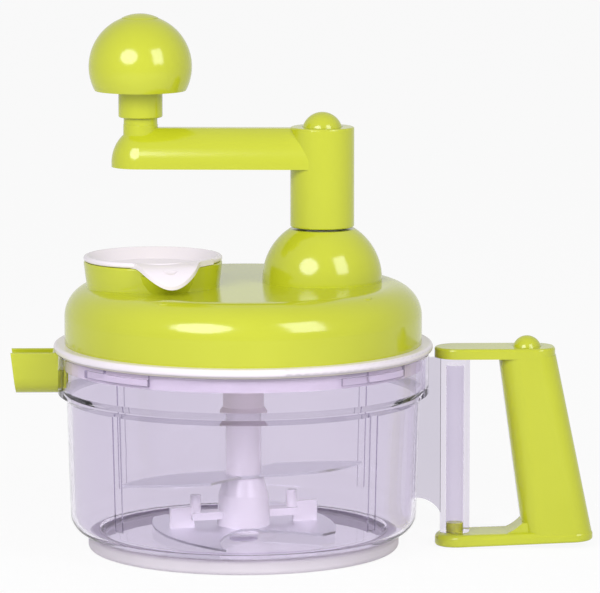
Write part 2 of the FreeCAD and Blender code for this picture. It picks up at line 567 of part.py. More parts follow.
def repeated(body, name, features, count, turn=None):
    """Repeats features evenly round the body's Z axis."""
    pattern = body.newObject("PartDesign::PolarPattern", name)
    pattern.Originals = features
    axis = next(f for f in body.Origin.OriginFeatures if f.Role == "Z_Axis")
    pattern.Axis = (axis, [""])
    pattern.Angle = 360.0
    pattern.setExpression("Occurrences", bound(count))
    body.Tip = pattern
    return pattern


def flat_at(edge, level):
    """True for an edge that lies wholly at one height."""
    box, height = edge.BoundBox, number(level)
    return abs(box.ZMin - height) < 0.01 and abs(box.ZMax - height) < 0.01


def rounded(body, name, radius, chosen):
    """Fillets the edges of the body so far that chosen picks."""
    doc.recompute()
    base = body.Tip
    names = [f"Edge{i}" for i, edge in enumerate(base.Shape.Edges, start=1) if chosen(edge)]
    if not names:
        raise RuntimeError(f"{name} finds no edges")
    feature = body.newObject("PartDesign::Fillet", name)
    feature.Base = (base, names)
    feature.setExpression("Radius", bound(radius))
    return feature


def coil(body, name, radius, wire, bottom, height, turns):
    """A coil spring about the body's Z axis."""
    sketch = new_sketch(body, name + "_wire", "XZ_Plane", disc(radius, f"{bottom} + {wire}", wire))
    feature = body.newObject("PartDesign::AdditiveHelix", name)
    feature.Profile = sketch
    feature.ReferenceAxis = (sketch, ["V_Axis"])
    feature.Mode = "height-turns-angle"
    feature.Turns = turns
    feature.setExpression("Height", bound(f"{height} - 2 * {wire}"))
    return feature


# ---------------------------------------------------------------- bowl group

def make_bowl():
    """Clear bowl with stepped collar, four wall ribs, bayonet grooves, spout window, web and post."""
    body = new_body("bowl")
    inner_collar = "collar_radius - collar_wall"
    floor_step = "foot_radius - floor_step_inset"
    turned(body, "BowlWall", lines(
        ("0", "pin_under_boss_bottom"),
        ("pin_under_boss_radius", "pin_under_boss_bottom"),
        ("pin_under_boss_radius", "bowl_underside"),
        ("foot_radius", "bowl_underside"),
        ("foot_radius", "foot_top"),
        ("wall_foot_radius", "foot_top", "wall_corner"),
        ("wall_top_radius", "wall_top"),
        ("collar_radius", "collar_bottom"),
        ("collar_radius", "rim_top", "rim_rounding"),
        (inner_collar, "rim_top", "rim_rounding"),
        (inner_collar, "collar_bottom + ledge_rise"),
        ("wall_top_radius - bowl_wall", "wall_top + ledge_wall"),
        ("wall_foot_radius - bowl_wall", "foot_top + bowl_wall", "floor_corner"),
        (floor_step, "foot_top + bowl_wall"),
        (f"{floor_step} - floor_slope_run", "floor_top"),
        ("pin_boss_radius", "floor_top"),
        ("pin_boss_radius", "pin_boss_top"),
        ("pin_radius", "pin_boss_top"),
        ("pin_radius", "pin_seat"),
        ("0", "pin_seat")))
    rib = extruded(body, "WallRib", "XZ_Plane", lines(
        ("wall_foot_radius - bowl_wall / 2", "rib_bottom"),
        ("wall_foot_radius + rib_proud", "rib_bottom + rib_toe"),
        ("wall_top_radius + rib_proud", "wall_top + rib_head"),
        ("wall_top_radius - bowl_wall / 2", "wall_top + rib_head")),
        "rib_width", both=True, turn="rib_turn")
    repeated(body, "WallRibs", [rib], "rib_count")
    groove_radius = "skirt_radius + lug_proud + lug_clearance"
    half_slack = "lug_slack + lug_angle / 2"
    slot = turned(body, "BayonetSlot", rectangle(
        "skirt_radius - overrun", groove_radius,
        "lug_bottom - lug_clearance", "lug_bottom + lug_height + lug_clearance"),
        cut=True, turn="bayonet_turn", angle="lug_angle + 2 * lug_slack + twist_angle")
    entry = turned(body, "BayonetEntry", rectangle(
        "skirt_radius - overrun", groove_radius, "lug_bottom", "rim_top + overrun"),
        cut=True, turn="bayonet_turn + twist_angle / 2", angle=f"2 * ({half_slack})")
    repeated(body, "BayonetSlots", [slot, entry], "lug_count")
    extruded(body, "SpoutWindow", "YZ_Plane", rectangle(
        "-window_half_width", "window_half_width", "window_bottom", "window_top", "window_rounding"),
        "2 * collar_wall", cut=True, lift="-collar_radius - collar_wall / 2")
    turned(body, "Post", lines(
        ("post_bore", "post_bottom"), ("post_radius", "post_bottom"), ("post_radius", "post_top"),
        ("stub_neck", "post_top"), ("stub_neck", "stub_head_bottom"), ("stub_head", "stub_head_bottom"),
        ("stub_head", "stub_top"), ("0", "stub_top"), ("0", "post_top - post_cap"),
        ("post_bore", "post_top - post_cap")), along="post_offset")
    web_outer = "post_offset - (post_radius + post_bore) / 2"
    extruded(body, "Web", "XZ_Plane", lines(
        ("collar_radius - collar_wall / 2", "web_top"),
        ("collar_radius - collar_wall / 2", "collar_bottom + overrun"),
        ("wall_top_radius - bowl_wall / 2", "wall_top"),
        ("wall_foot_radius - web_bite", "web_bottom_at_wall"),
        "-web_arch",
        (web_outer, "web_bottom_at_post"),
        (web_outer, "web_top")),
        "web_thickness", both=True)
    return body


def make_base_ring():
    """Soft ring that grips the bowl's foot and stands on the table."""
    body = new_body("base_ring")
    turned(body, "Ring", lines(
        ("ring_inner_radius", "0"),
        ("ring_radius", "0", "ring_rounding"),
        ("ring_radius", "ring_height", "ring_rounding"),
        ("foot_radius + foot_clearance", "ring_height"),
        ("foot_radius + foot_clearance", "ring_thickness"),
        ("ring_inner_radius", "ring_thickness")))
    return body


def make_floor_pin():
    """Steel pin, seated in the floor boss, that the blade unit turns on."""
    body = new_body("floor_pivot_pin")
    turned(body, "Pin", lines(
        ("0", "pin_seat"), ("pin_radius", "pin_seat"), ("pin_radius", "pin_top", "pin_rounding"),
        ("0", "pin_top")))
    return body


def make_spout():
    """Open trough with a root plate against the collar and a tongue through its window."""
    body = new_body("pour_spout")
    inner_bottom = "spout_bottom + spout_wall"
    inner_half = "spout_half_width - spout_wall"
    extruded(body, "Trough", "YZ_Plane", lines(
        ("-spout_half_width", "spout_top"),
        ("-spout_half_width", "spout_bottom", "spout_half_width - spout_corner_flat"),
        ("spout_half_width", "spout_bottom", "spout_half_width - spout_corner_flat"),
        ("spout_half_width", "spout_top"),
        (inner_half, "spout_top"),
        (inner_half, inner_bottom, f"{inner_half} - spout_corner_flat"),
        (f"-({inner_half})", inner_bottom, f"{inner_half} - spout_corner_flat"),
        (f"-({inner_half})", "spout_top")),
        "spout_end - collar_radius + collar_wall", lift="-spout_end")
    extruded(body, "RootPlate", "YZ_Plane", lines(
        ("-spout_half_width", "spout_top"),
        ("-spout_half_width", "spout_bottom", "spout_half_width - spout_corner_flat"),
        ("spout_half_width", "spout_bottom", "spout_half_width - spout_corner_flat"),
        ("spout_half_width", "spout_top")),
        "spout_plate + collar_wall", lift="-collar_radius - spout_plate")
    turned(body, "CollarSeat", rectangle(
        "collar_radius - collar_wall - overrun", "collar_radius", "spout_bottom - overrun",
        "spout_top + overrun"), cut=True)
    extruded(body, "Tongue", "YZ_Plane", rectangle(
        "-window_half_width + window_gap", "window_half_width - window_gap",
        "window_bottom + window_gap", "window_top - window_gap", "window_rounding - window_gap"),
        "spout_tongue + overrun", lift="-collar_radius - overrun")
    extruded(body, "TongueChannel", "YZ_Plane", rectangle(
        "-window_half_width + spout_wall", "window_half_width - spout_wall",
        "window_bottom + spout_wall", "window_top - spout_wall"),
        "spout_plate + spout_tongue + 2 * overrun", cut=True, lift="-collar_radius - spout_plate - overrun")
    extruded(body, "SlantedEnd", "XZ_Plane", lines(
        ("-spout_end - overrun", "spout_bottom - overrun"),
        ("-spout_end_low", "spout_bottom - overrun"),
        ("-spout_end", "spout_top + overrun"),
        ("-spout_end - overrun", "spout_top + overrun")),
        "2 * (spout_half_width + overrun)", cut=True, both=True)
    rounded(body, "TopEdges", "spout_edge_rounding",
            lambda edge: flat_at(edge, "spout_top") and edge.BoundBox.YLength < 0.01)
    return body


def make_handle_grip():
    """Green handle: top plate over the post, slanted hollow grip, foot plate with a peg in the post."""
    body = new_body("handle_grip")
    grip_top = "plate_bottom + overrun"
    slope_left = f"(grip_base_left - grip_top_left) / ({grip_top} - grip_base)"
    slope_right = f"(grip_base_right - grip_top_right) / ({grip_top} - grip_base)"

    def on_foot_plate(edge, left_height, right_height):
        """True for the edges round one of the foot plate's two sloping faces."""
        slope = number(f"({right_height} - {left_height}) / (grip_base_right - foot_plate_left)")
        ends = [edge.valueAt(u) for u in (edge.FirstParameter, edge.LastParameter)]
        return all(abs(end.z - number(left_height) - slope * (end.x - number("foot_plate_left")))
                   < 0.01 for end in ends)

    extruded(body, "FootPlate", "XZ_Plane", lines(
        ("foot_plate_left", "foot_plate_low_left"), ("grip_base_right", "foot_plate_low_right"),
        ("grip_base_right", "foot_plate_high_right"), ("foot_plate_left", "foot_plate_high_left")),
        "2 * foot_plate_half_width", both=True)
    margin = "foot_plate_half_width + overrun"
    extruded(body, "FootPlatePlan", "XY_Plane", [
        rectangle("foot_plate_left - overrun", "grip_base_right + overrun", f"-({margin})", margin),
        lines(("foot_plate_left", "-foot_plate_half_width", "foot_plate_half_width - corner_flat"),
              ("grip_base_right", "-foot_plate_half_width", "grip_rounding"),
              ("grip_base_right", "foot_plate_half_width", "grip_rounding"),
              ("foot_plate_left", "foot_plate_half_width", "foot_plate_half_width - corner_flat"))],
        "foot_plate_high_right + 2 * overrun", cut=True, lift="-overrun")
    rounded(body, "FootPlateEdges", "foot_plate_rounding",
            lambda edge: on_foot_plate(edge, "foot_plate_high_left", "foot_plate_high_right"))
    extruded(body, "TopPlate", "XY_Plane", lines(
        ("plate_left", "-plate_half_width", "plate_half_width - corner_flat"),
        ("plate_right", "-plate_half_width", "grip_rounding"),
        ("plate_right", "plate_half_width", "grip_rounding"),
        ("plate_left", "plate_half_width", "plate_half_width - corner_flat")),
        "plate_top - plate_bottom", lift="plate_bottom")
    lofted(body, "Grip", [
        ("grip_base", rectangle("grip_base_left", "grip_base_right", "-grip_base_half_width",
                                "grip_base_half_width", "grip_rounding")),
        (grip_top, rectangle("grip_top_left", "grip_top_right", "-grip_top_half_width",
                             "grip_top_half_width", "grip_rounding"))])
    extruded(body, "Gusset", "XZ_Plane", lines(
        ("grip_base_left - gusset_run", "foot_plate_high_left"),
        ("grip_base_left + grip_wall", "foot_plate_high_left"),
        ("grip_base_left + grip_wall", "foot_plate_high_left + gusset_rise"),
        (f"grip_base_left - gusset_rise * {slope_left}", "foot_plate_high_left + gusset_rise"),
        "-gusset_radius"),
        "2 * (grip_base_half_width - gusset_inset)", both=True)
    rounded(body, "OuterEdges", "handle_edge_rounding",
            lambda edge: flat_at(edge, "plate_top")
            or on_foot_plate(edge, "foot_plate_low_left", "foot_plate_low_right"))
    roof = "plate_top - plate_skin"
    lofted(body, "GripHollow", [
        ("0", rectangle(f"grip_base_left + grip_wall + grip_base * {slope_left}",
                        f"grip_base_right - grip_wall + grip_base * {slope_right}",
                        "-grip_base_half_width + grip_wall", "grip_base_half_width - grip_wall",
                        "grip_rounding - grip_wall")),
        (roof, rectangle(f"grip_top_left + grip_wall - ({roof} - ({grip_top})) * {slope_left}",
                         f"grip_top_right - grip_wall - ({roof} - ({grip_top})) * {slope_right}",
                         "-grip_top_half_width + grip_wall", "grip_top_half_width - grip_wall",
                         "grip_rounding - grip_wall"))], cut=True)
    extruded(body, "SpringShelf", "XY_Plane", rectangle(
        "grip_top_left + grip_wall / 2", "grip_top_right", "-grip_top_half_width + grip_wall / 2",
        "grip_top_half_width - grip_wall / 2", "grip_rounding - grip_wall / 2"),
        "shelf_top - shelf_bottom", lift="shelf_bottom")
    extruded(body, "ShelfWindow", "XY_Plane", rectangle(
        "strip_bend + strip_drop_offset / 2", "grip_button_offset + grip_spring_radius",
        "-shelf_window_half_width", "shelf_window_half_width"),
        "shelf_top - shelf_bottom + 2 * overrun", cut=True, lift="shelf_bottom - overrun")
    extruded(body, "LatchChannel", "XY_Plane", rectangle(
        "channel_left", "strip_bend + grip_wall", "-channel_half_width", "channel_half_width"),
        "plate_top - plate_skin - channel_bottom", cut=True, lift="channel_bottom")
    extruded(body, "StubHole", "XY_Plane", disc("post_offset", "0", "stub_head + stub_gap"),
             "channel_bottom - plate_bottom + 2 * overrun", cut=True, lift="plate_bottom - overrun")
    extruded(body, "ButtonBore", "XY_Plane",
             disc("grip_button_offset", "0", "grip_button_radius + button_clearance"),
             "plate_skin + 2 * overrun", cut=True, lift="plate_top - plate_skin - overrun")
    extruded(body, "FootPeg", "XY_Plane", disc("post_offset", "0", "post_bore - peg_gap"),
             "foot_peg_height", lift="foot_plate_high_left - overrun")
    return body


def make_handle_button():
    """Domed push button with a wedge foot that drives the latch strip."""
    body = new_body("handle_button")
    strip_top = "strip_low + strip_thickness"
    turned(body, "Dome", lines(
        ("0", "grip_button_skirt"),
        ("grip_button_skirt_radius", "grip_button_skirt"),
        ("grip_button_skirt_radius", "grip_button_step"),
        ("grip_button_radius", "grip_button_step"),
        ("grip_button_radius", "plate_top"),
        "(grip_button_rise ^ 2 + grip_button_radius ^ 2) / 2 / grip_button_rise",
        ("0", "plate_top + grip_button_rise")))
    extruded(body, "WedgeFoot", "XZ_Plane", lines(
        ("wedge_left", "grip_button_skirt + overrun"),
        ("wedge_left", f"{strip_top} - wedge_toe"),
        ("wedge_right - wedge_toe", f"{strip_top} - wedge_toe"),
        ("wedge_right + latch_travel", f"{strip_top} + latch_travel"),
        ("wedge_right + latch_travel", "grip_button_skirt + overrun")),
        "wedge_width", both=True)
    return place(body, "grip_button_offset")


def make_handle_latch():
    """Sprung steel strip: a keyhole round the post's stub at one end, the wedge's window at the other."""
    body = new_body("handle_latch")
    high = "channel_bottom + running_clearance"
    extruded(body, "Strip", "XZ_Plane", lines(
        ("strip_left", high), ("strip_bend", high), ("strip_bend + strip_drop_run", "strip_low"),
        ("strip_right", "strip_low"), ("strip_right", "strip_low + strip_thickness"),
        ("strip_bend + strip_drop_run + strip_drop_offset", "strip_low + strip_thickness"),
        ("strip_bend + strip_drop_offset", f"{high} + strip_thickness"),
        ("strip_left", f"{high} + strip_thickness")),
        "2 * strip_half_width", both=True)
    extruded(body, "Eye", "XY_Plane", rectangle(
        "strip_left", "post_offset + strip_eye_half_width", "-strip_eye_half_width", "strip_eye_half_width",
        "overrun"), "strip_thickness", lift=high)
    extruded(body, "EyeOpening", "XY_Plane", disc("post_offset - latch_travel", "0", "stub_head + latch_gap"),
             "strip_thickness + 2 * overrun", cut=True, lift=f"{high} - overrun")
    extruded(body, "EyeSlot", "XY_Plane", rectangle(
        "post_offset - latch_travel", "post_offset + stub_neck + latch_gap", "-stub_neck - latch_gap",
        "stub_neck + latch_gap", "stub_neck"), "strip_thickness + 2 * overrun", cut=True,
        lift=f"{high} - overrun")
    extruded(body, "WedgeWindow", "XY_Plane", rectangle(
        "grip_button_offset + wedge_left - latch_travel - wedge_gap",
        "grip_button_offset + wedge_right + wedge_gap",
        "-wedge_width / 2 - window_slack", "wedge_width / 2 + window_slack"),
        "strip_thickness + 2 * overrun", cut=True, lift="strip_low - overrun")
    return body


def make_handle_spring():
    """Return spring of the handle's button."""
    body = new_body("handle_button_spring")
    coil(body, "Coil", "grip_spring_radius", "spring_wire", "shelf_top",
         "grip_button_skirt - shelf_top", 3)
    return place(body, "grip_button_offset")


# ---------------------------------------------------------------- lid group

def make_lid_seal():
    """Flat ring between the collar's rim and the lid's flange."""
    body = new_body("lid_seal")
    turned(body, "Seal", rectangle("seal_inner_radius", "seal_outer_radius", "rim_top", "flange_bottom"))
    return body


def screw_discs(radius):
    """One circle at each of the lid's four screws, mirrored about both axes."""
    return [disc(f"{sx} * screw_ring_radius * cos(screw_turn)", f"{sy} * screw_ring_radius * sin(screw_turn)",
                 radius) for sx in (1, -1) for sy in (1, -1)]


def make_lid_base():
    """White lid base: outer flange, skirt with bayonet lugs, gear floor with bearings and feed throat."""
    body = new_body("lid_base")
    lip_radius = "cover_radius - cover_wall - seat_gap"
    turned(body, "Floor", lines(
        ("0", "gear_floor_bottom"),
        ("skirt_radius - skirt_wall", "gear_floor_bottom"),
        ("skirt_radius - skirt_wall", "skirt_bottom"),
        ("skirt_radius", "skirt_bottom"),
        ("skirt_radius", "flange_bottom"),
        ("flange_radius", "flange_bottom", "flange_rounding"),
        ("flange_radius", "flange_top", "flange_rounding"),
        (lip_radius, "flange_top"),
        (lip_radius, "locating_lip_top"),
        (f"{lip_radius} - lip_wall", "locating_lip_top"),
        (f"{lip_radius} - lip_wall", "gear_floor_top"),
        ("0", "gear_floor_top")))
    lug = turned(body, "Lug", rectangle(
        "skirt_radius - overrun", "skirt_radius + lug_proud", "lug_bottom", "lug_bottom + lug_height"),
        turn="bayonet_turn + twist_angle / 2 - lid_turn", angle="lug_angle")
    repeated(body, "Lugs", [lug], "lug_count")
    extruded(body, "SocketBoss", "XY_Plane", disc("0", "0", "socket_boss_radius"),
             "gear_floor_bottom - socket_boss_bottom + overrun", lift="socket_boss_bottom")
    extruded(body, "SocketBore", "XY_Plane", disc("0", "0", "socket_radius + running_clearance"),
             "gear_floor_top - socket_boss_bottom + 2 * overrun", cut=True,
             lift="socket_boss_bottom - overrun")
    extruded(body, "FeedThroat", "XY_Plane", disc("-feed_offset", "0", "feed_throat_radius"),
             "gear_floor_bottom - feed_throat_bottom + overrun", lift="feed_throat_bottom")
    extruded(body, "FeedHole", "XY_Plane", disc("-feed_offset", "0", "feed_bore"),
             "gear_floor_top - feed_throat_bottom + 2 * overrun", cut=True,
             lift="feed_throat_bottom - overrun")
    extruded(body, "BushBoss", "XY_Plane", disc("crank_offset", "0", "bush_boss_radius"),
             "bush_boss_top - gear_floor_top + overrun", lift="gear_floor_top - overrun")
    extruded(body, "BushBore", "XY_Plane",
             disc("crank_offset", "0", "journal_radius + running_clearance + bush_wall"),
             "bush_boss_top - gear_floor_top + overrun", cut=True, lift="gear_floor_top")
    extruded(body, "ScrewHoles", "XY_Plane", screw_discs("screw_radius + screw_hole_slack"),
             "gear_floor_top - gear_floor_bottom + 2 * overrun", cut=True,
             lift="gear_floor_bottom - overrun")
    return place_on_lid(body)


def make_lid_cover():
    """Green cover with the dome round the crank shaft and the feed tube."""
    body = new_body("lid_cover")
    inner_radius = "cover_radius - cover_wall"
    inner_top = "cover_top - cover_wall"
    turned(body, "Shell", lines(
        (inner_radius, "flange_top"),
        ("cover_radius", "flange_top"),
        ("cover_radius", "cover_top", "cover_shoulder"),
        ("0", "cover_top"),
        ("0", inner_top),
        (inner_radius, inner_top, "cover_shoulder - cover_wall")))
    dome_bore = "dome_radius - dome_wall"
    extruded(body, "DomeOpening", "XY_Plane", disc("crank_offset", "0", dome_bore),
             "cover_wall + 2 * overrun", cut=True, lift=f"{inner_top} - overrun")
    roof = "dome_top - dome_wall"
    turned(body, "Dome", lines(
        (dome_bore, inner_top),
        ("dome_radius", inner_top),
        ("dome_radius", "dome_centre"),
        "dome_radius",
        ("sqrt(dome_radius ^ 2 - (dome_top - dome_centre) ^ 2)", "dome_top"),
        ("upper_bush_radius", "dome_top"),
        ("upper_bush_radius", "upper_bush_bottom"),
        ("upper_bush_radius + dome_wall", "upper_bush_bottom"),
        ("upper_bush_radius + dome_wall", roof),
        (f"sqrt(({dome_bore}) ^ 2 - ({roof} - dome_centre) ^ 2)", roof),
        f"-({dome_bore})",
        (dome_bore, "dome_centre")), along="crank_offset")
    turned(body, "FeedTube", lines(
        ("feed_bore", "gear_floor_top"),
        ("feed_radius", "gear_floor_top"),
        ("feed_radius", "feed_flare_start"),
        ("feed_rim_radius", "feed_rim", "feed_rim_rounding"),
        ("feed_bore", "feed_rim")), along="-feed_offset")
    lofted(body, "LipBulge", [
        ("cover_top - overrun", disc("-feed_offset + tab_shift", "lip_bulge_radius - feed_radius - overrun",
                                     "lip_bulge_radius")),
        ("feed_rim - lip_bulge_drop", disc("-feed_offset + tab_shift", "lip_bulge_radius - bulge_end",
                                           "lip_bulge_radius"))])
    extruded(body, "FeedBore", "XY_Plane", disc("-feed_offset", "0", "feed_bore"),
             "feed_rim - gear_floor_top + 2 * overrun", cut=True, lift="gear_floor_top - overrun")
    extruded(body, "TabSeat", "YZ_Plane", lines(
        ("-feed_bore + overrun", "feed_rim + seat_gap"),
        ("-feed_rim_radius", "feed_rim - tab_clearance"),
        ("-tab_end", "tab_tip - dish_sheet - tab_clearance"),
        ("-tab_end", "feed_rim + overrun")),
        "2 * (tab_root_half_width + overrun)", cut=True, both=True, lift="-feed_offset + tab_shift")
    extruded(body, "ScrewBosses", "XY_Plane", screw_discs("screw_boss_radius"),
             f"{inner_top} - gear_floor_top + cover_wall / 2", lift="gear_floor_top")
    extruded(body, "ScrewPilots", "XY_Plane", screw_discs("screw_radius"),
             "screw_length + 2 * overrun", cut=True, lift="gear_floor_top - overrun")
    return place_on_lid(body)


def make_lid_screws():
    """Four pan-head screws from under the gear floor into the cover's bosses."""
    body = new_body("lid_screws")
    extruded(body, "Shanks", "XY_Plane", screw_discs("screw_radius"), "screw_length",
             lift="gear_floor_bottom")
    extruded(body, "Heads", "XY_Plane", screw_discs("screw_head_radius"), "screw_head_height",
             lift="gear_floor_bottom - screw_head_height")
    return place_on_lid(body)


def make_lower_bush():
    """Flanged plain bearing under the crank shaft."""
    body = new_body("shaft_bush_lower")
    bore = "journal_radius + running_clearance"
    turned(body, "Bush", lines(
        (bore, "gear_floor_top"), (f"{bore} + bush_wall", "gear_floor_top"),
        (f"{bore} + bush_wall", "bush_boss_top"), ("bush_flange_radius", "bush_boss_top"),
        ("bush_flange_radius", "bush_boss_top + bush_flange"), (bore, "bush_boss_top + bush_flange")),
        along="crank_offset")
    return place_on_lid(body)


def make_upper_bush():
    """Plain bearing of the crank shaft in the dome's top."""
    body = new_body("shaft_bush_upper")
    turned(body, "Bush", rectangle(
        "shaft_radius + running_clearance", "upper_bush_radius", "upper_bush_bottom", "dome_top - seat_gap"),
        along="crank_offset")
    return place_on_lid(body)


def make_egg_separator():
    """White dish with a yolk cup, drain slots and a drooping pouring tab with a half-moon hole."""
    body = new_body("egg_separator")
    rim_bottom = "feed_rim + seat_gap"
    rim_top = f"{rim_bottom} + dish_rim_thickness"
    below = "tab_tip - dish_sheet - overrun"
    middle = "-feed_offset + tab_shift"
    extruded(body, "Tab", "XY_Plane", lines(
        (f"{middle} - tab_flare_half_width", "-tab_flare_reach"),
        (f"{middle} - tab_root_half_width", "-tab_root_reach", "tab_root_radius"),
        (f"{middle} - tab_tip_half_width", "-tab_nose_reach"),
        "tab_tip_radius",
        (f"{middle} + tab_tip_half_width", "-tab_nose_reach"),
        (f"{middle} + tab_root_half_width", "-tab_root_reach", "tab_root_radius"),
        (f"{middle} + tab_flare_half_width", "-tab_flare_reach")),
        f"{rim_top} - ({below})", lift=below)
    extruded(body, "TabTop", "YZ_Plane", lines(
        ("-feed_bore", rim_top),
        "tab_curve",
        ("-tab_end - overrun", "tab_tip"),
        ("-tab_end - overrun", f"{rim_top} + overrun"),
        ("-feed_bore", f"{rim_top} + overrun")),
        "2 * tab_end", cut=True, both=True, lift=middle)
    extruded(body, "TabUnderside", "YZ_Plane", lines(
        ("-tab_flare_reach + overrun", f"{below} - overrun"),
        ("-tab_end - overrun", f"{below} - overrun"),
        ("-tab_end - overrun", "tab_tip - dish_sheet"),
        "-tab_curve",
        ("-feed_bore - overrun", rim_bottom),
        ("-tab_flare_reach + overrun", rim_bottom)),
        "2 * tab_end", cut=True, both=True, lift=middle)
    turned(body, "Dish", lines(
        ("0", "yolk_bottom - dish_sheet"),
        ("yolk_radius - yolk_slope", "yolk_bottom - dish_sheet"),
        ("yolk_radius + dish_sheet", "yolk_edge - dish_sheet"),
        ("dish_skirt_radius - dish_skirt_wall", "dish_ring_height - dish_sheet"),
        ("dish_skirt_radius - dish_skirt_wall", "dish_skirt_bottom"),
        ("dish_skirt_radius", "dish_skirt_bottom"),
        ("dish_skirt_radius", rim_bottom),
        ("dish_radius", rim_bottom, "dish_edge_rounding"),
        ("dish_radius", rim_top, "dish_edge_rounding"),
        ("0", rim_top)), along="-feed_offset")
    turned(body, "DishHollow", lines(
        ("0", "yolk_bottom"),
        ("yolk_radius - yolk_slope", "yolk_bottom", "yolk_rounding"),
        ("yolk_radius", "yolk_edge", "dish_sheet"),
        ("dish_ring_radius", "dish_ring_height"),
        ("dish_radius - dish_land", rim_top),
        ("0", rim_top)), cut=True, along="-feed_offset")
    extruded(body, "HalfMoon", "XY_Plane", lines(
        (f"{middle} - moon_half_width", "-moon_flat"),
        "moon_radius",
        (f"{middle} + moon_half_width", "-moon_flat")),
        f"{rim_top} - ({below}) + overrun", cut=True, lift=below)
    for slot_turn in (0, 90, 180):
        turned(body, f"DrainSlot{slot_turn}", rectangle(
            "slot_inner_radius", "slot_outer_radius", "yolk_bottom", "feed_rim"),
            cut=True, along="-feed_offset", turn=str(slot_turn), angle="slot_angle")
    return place_on_lid(body)


# ---------------------------------------------------------------- gear train

def tooth_gear(name, teeth, bottom, face):
    """An involute spur gear about its own axis, with a tooth centred on +X. Standard depth, each flank
    thinned by a quarter of the backlash allowance on both gears together."""
    count = int(number(teeth))
    module = 2 * number("crank_offset") / (number("gear_teeth") + number("pinion_teeth"))
    pressure = math.radians(number("pressure_angle"))
    pitch = module * count / 2
    base = pitch * math.cos(pressure)
    root = pitch - number("tooth_dedendum") * module
    tip = pitch + number("tooth_addendum") * module
    half_tooth = math.pi / 2 / count - number("backlash") / 4 / pitch
    involute = math.tan(pressure) - pressure

    def flank_point(radius, side):
        """A point of a flank: side is -1 before the tooth's centre line and +1 after it."""
        angle = math.acos(min(1.0, base / radius))
        offset = half_tooth + involute - (math.tan(angle) - angle)
        return radius, side * offset

    def at(polar, centre):
        return Vector(polar[0] * math.cos(centre + polar[1]), polar[0] * math.sin(centre + polar[1]), 0)

    start = max(base, root)
    edges = []
    for k in range(count):
        centre = 2 * math.pi * k / count
        following = 2 * math.pi * (k + 1) / count
        rising = [at(flank_point(r, -1), centre) for r in (start, (start + tip) / 2, tip)]
        falling = [at(flank_point(r, 1), centre) for r in (tip, (start + tip) / 2, start)]
        foot_angle = flank_point(start, 1)[1]
        foot_in = at((root, -foot_angle), centre)
        foot_out = at((root, foot_angle), centre)
        foot_next = at((root, -foot_angle), following)
        gap_middle = at((root, 0), (centre + following) / 2)
        if start > root:
            edges.append(Part.LineSegment(foot_in, rising[0]).toShape())
        edges.append(Part.Arc(*rising).toShape())
        edges.append(Part.Arc(rising[2], at((tip, 0), centre), falling[0]).toShape())
        edges.append(Part.Arc(*falling).toShape())
        if start > root:
            edges.append(Part.LineSegment(falling[2], foot_out).toShape())
        edges.append(Part.Arc(foot_out, gap_middle, foot_next).toShape())
    face_shape = Part.Face(Part.Wire(edges))
    gear = doc.addObject("Part::Feature", name)
    gear.Shape = face_shape.extrude(Vector(0, 0, number(face)))
    gear.Placement = Placement(Vector(0, 0, number(bottom)), Rotation())
    return gear


def cylinder(name, radius, bottom, height):
    """A cylinder about Z, bound to the sheet."""
    piece = doc.addObject("Part::Cylinder", name)
    piece.setExpression("Radius", bound(radius))
    piece.setExpression("Height", bound(height))
    piece.setExpression("Placement.Base.z", bound(bottom))
    return piece


def prism(name, across_flats, bottom, height):
    """A hexagonal prism about Z, bound to the sheet."""
    piece = doc.addObject("Part::Prism", name)
    piece.Polygon = 6
    piece.setExpression("Circumradius", bound(f"({across_flats}) / 2 / cos(30)"))
    piece.setExpression("Height", bound(height))
    piece.setExpression("Placement.Base.z", bound(bottom))
    return piece


def combined(kind, name, base, tool):
    """A boolean of two objects: Part::Cut or Part::Fuse."""
    result = doc.addObject(kind, name)
    result.Base = base
    result.Tool = tool
    return result


def finished(piece, name):
    """Names a boolean result as a real piece."""
    piece.Label = name
    parts.append(piece)
    return piece


def make_drive_gear():
    """Crank gear: toothed rim, thin web and a long hub pressed on the shaft."""
    gear_module = "2 * crank_offset / (gear_teeth + pinion_teeth)"
    root = f"gear_tip_radius - (tooth_addendum + tooth_dedendum) * {gear_module} - gear_rim"
    teeth = tooth_gear("gear_teeth_rim", "gear_teeth", "gear_bottom", "gear_face")
    recess = cylinder("gear_recess", root, "gear_bottom + gear_web", "gear_face")
    cup = combined("Part::Cut", "gear_cup", teeth, recess)
    hub = cylinder("gear_hub", "gear_hub_radius", "gear_bottom", "gear_hub_top - gear_bottom")
    solid = combined("Part::Fuse", "gear_solid", cup, hub)
    bore = cylinder("gear_bore", "shaft_radius", "gear_bottom - overrun", "gear_hub_length + 2 * overrun")
    gear = finished(combined("Part::Cut", "drive_gear", solid, bore), "drive_gear")
    return place(gear, "crank_offset * cos(lid_turn)", "crank_offset * sin(lid_turn)", "lid_turn")


def make_driven_pinion():
    """Pinion with a thrust flange that rests on the gear floor, and a hexagon bore for the socket."""
    flange_bottom = "gear_floor_top + thrust_gap"
    teeth = tooth_gear("pinion_teeth_rim", "pinion_teeth", "pinion_bottom", "pinion_face")
    flange = cylinder("pinion_flange", "pinion_flange_radius", flange_bottom,
                      f"pinion_bottom - ({flange_bottom})")
    solid = combined("Part::Fuse", "pinion_solid", teeth, flange)
    bore = prism("pinion_bore", "spigot_hexagon", "gear_floor_top", "pinion_top - gear_floor_top + overrun")
    return place_on_lid(finished(combined("Part::Cut", "driven_pinion", solid, bore), "driven_pinion"))


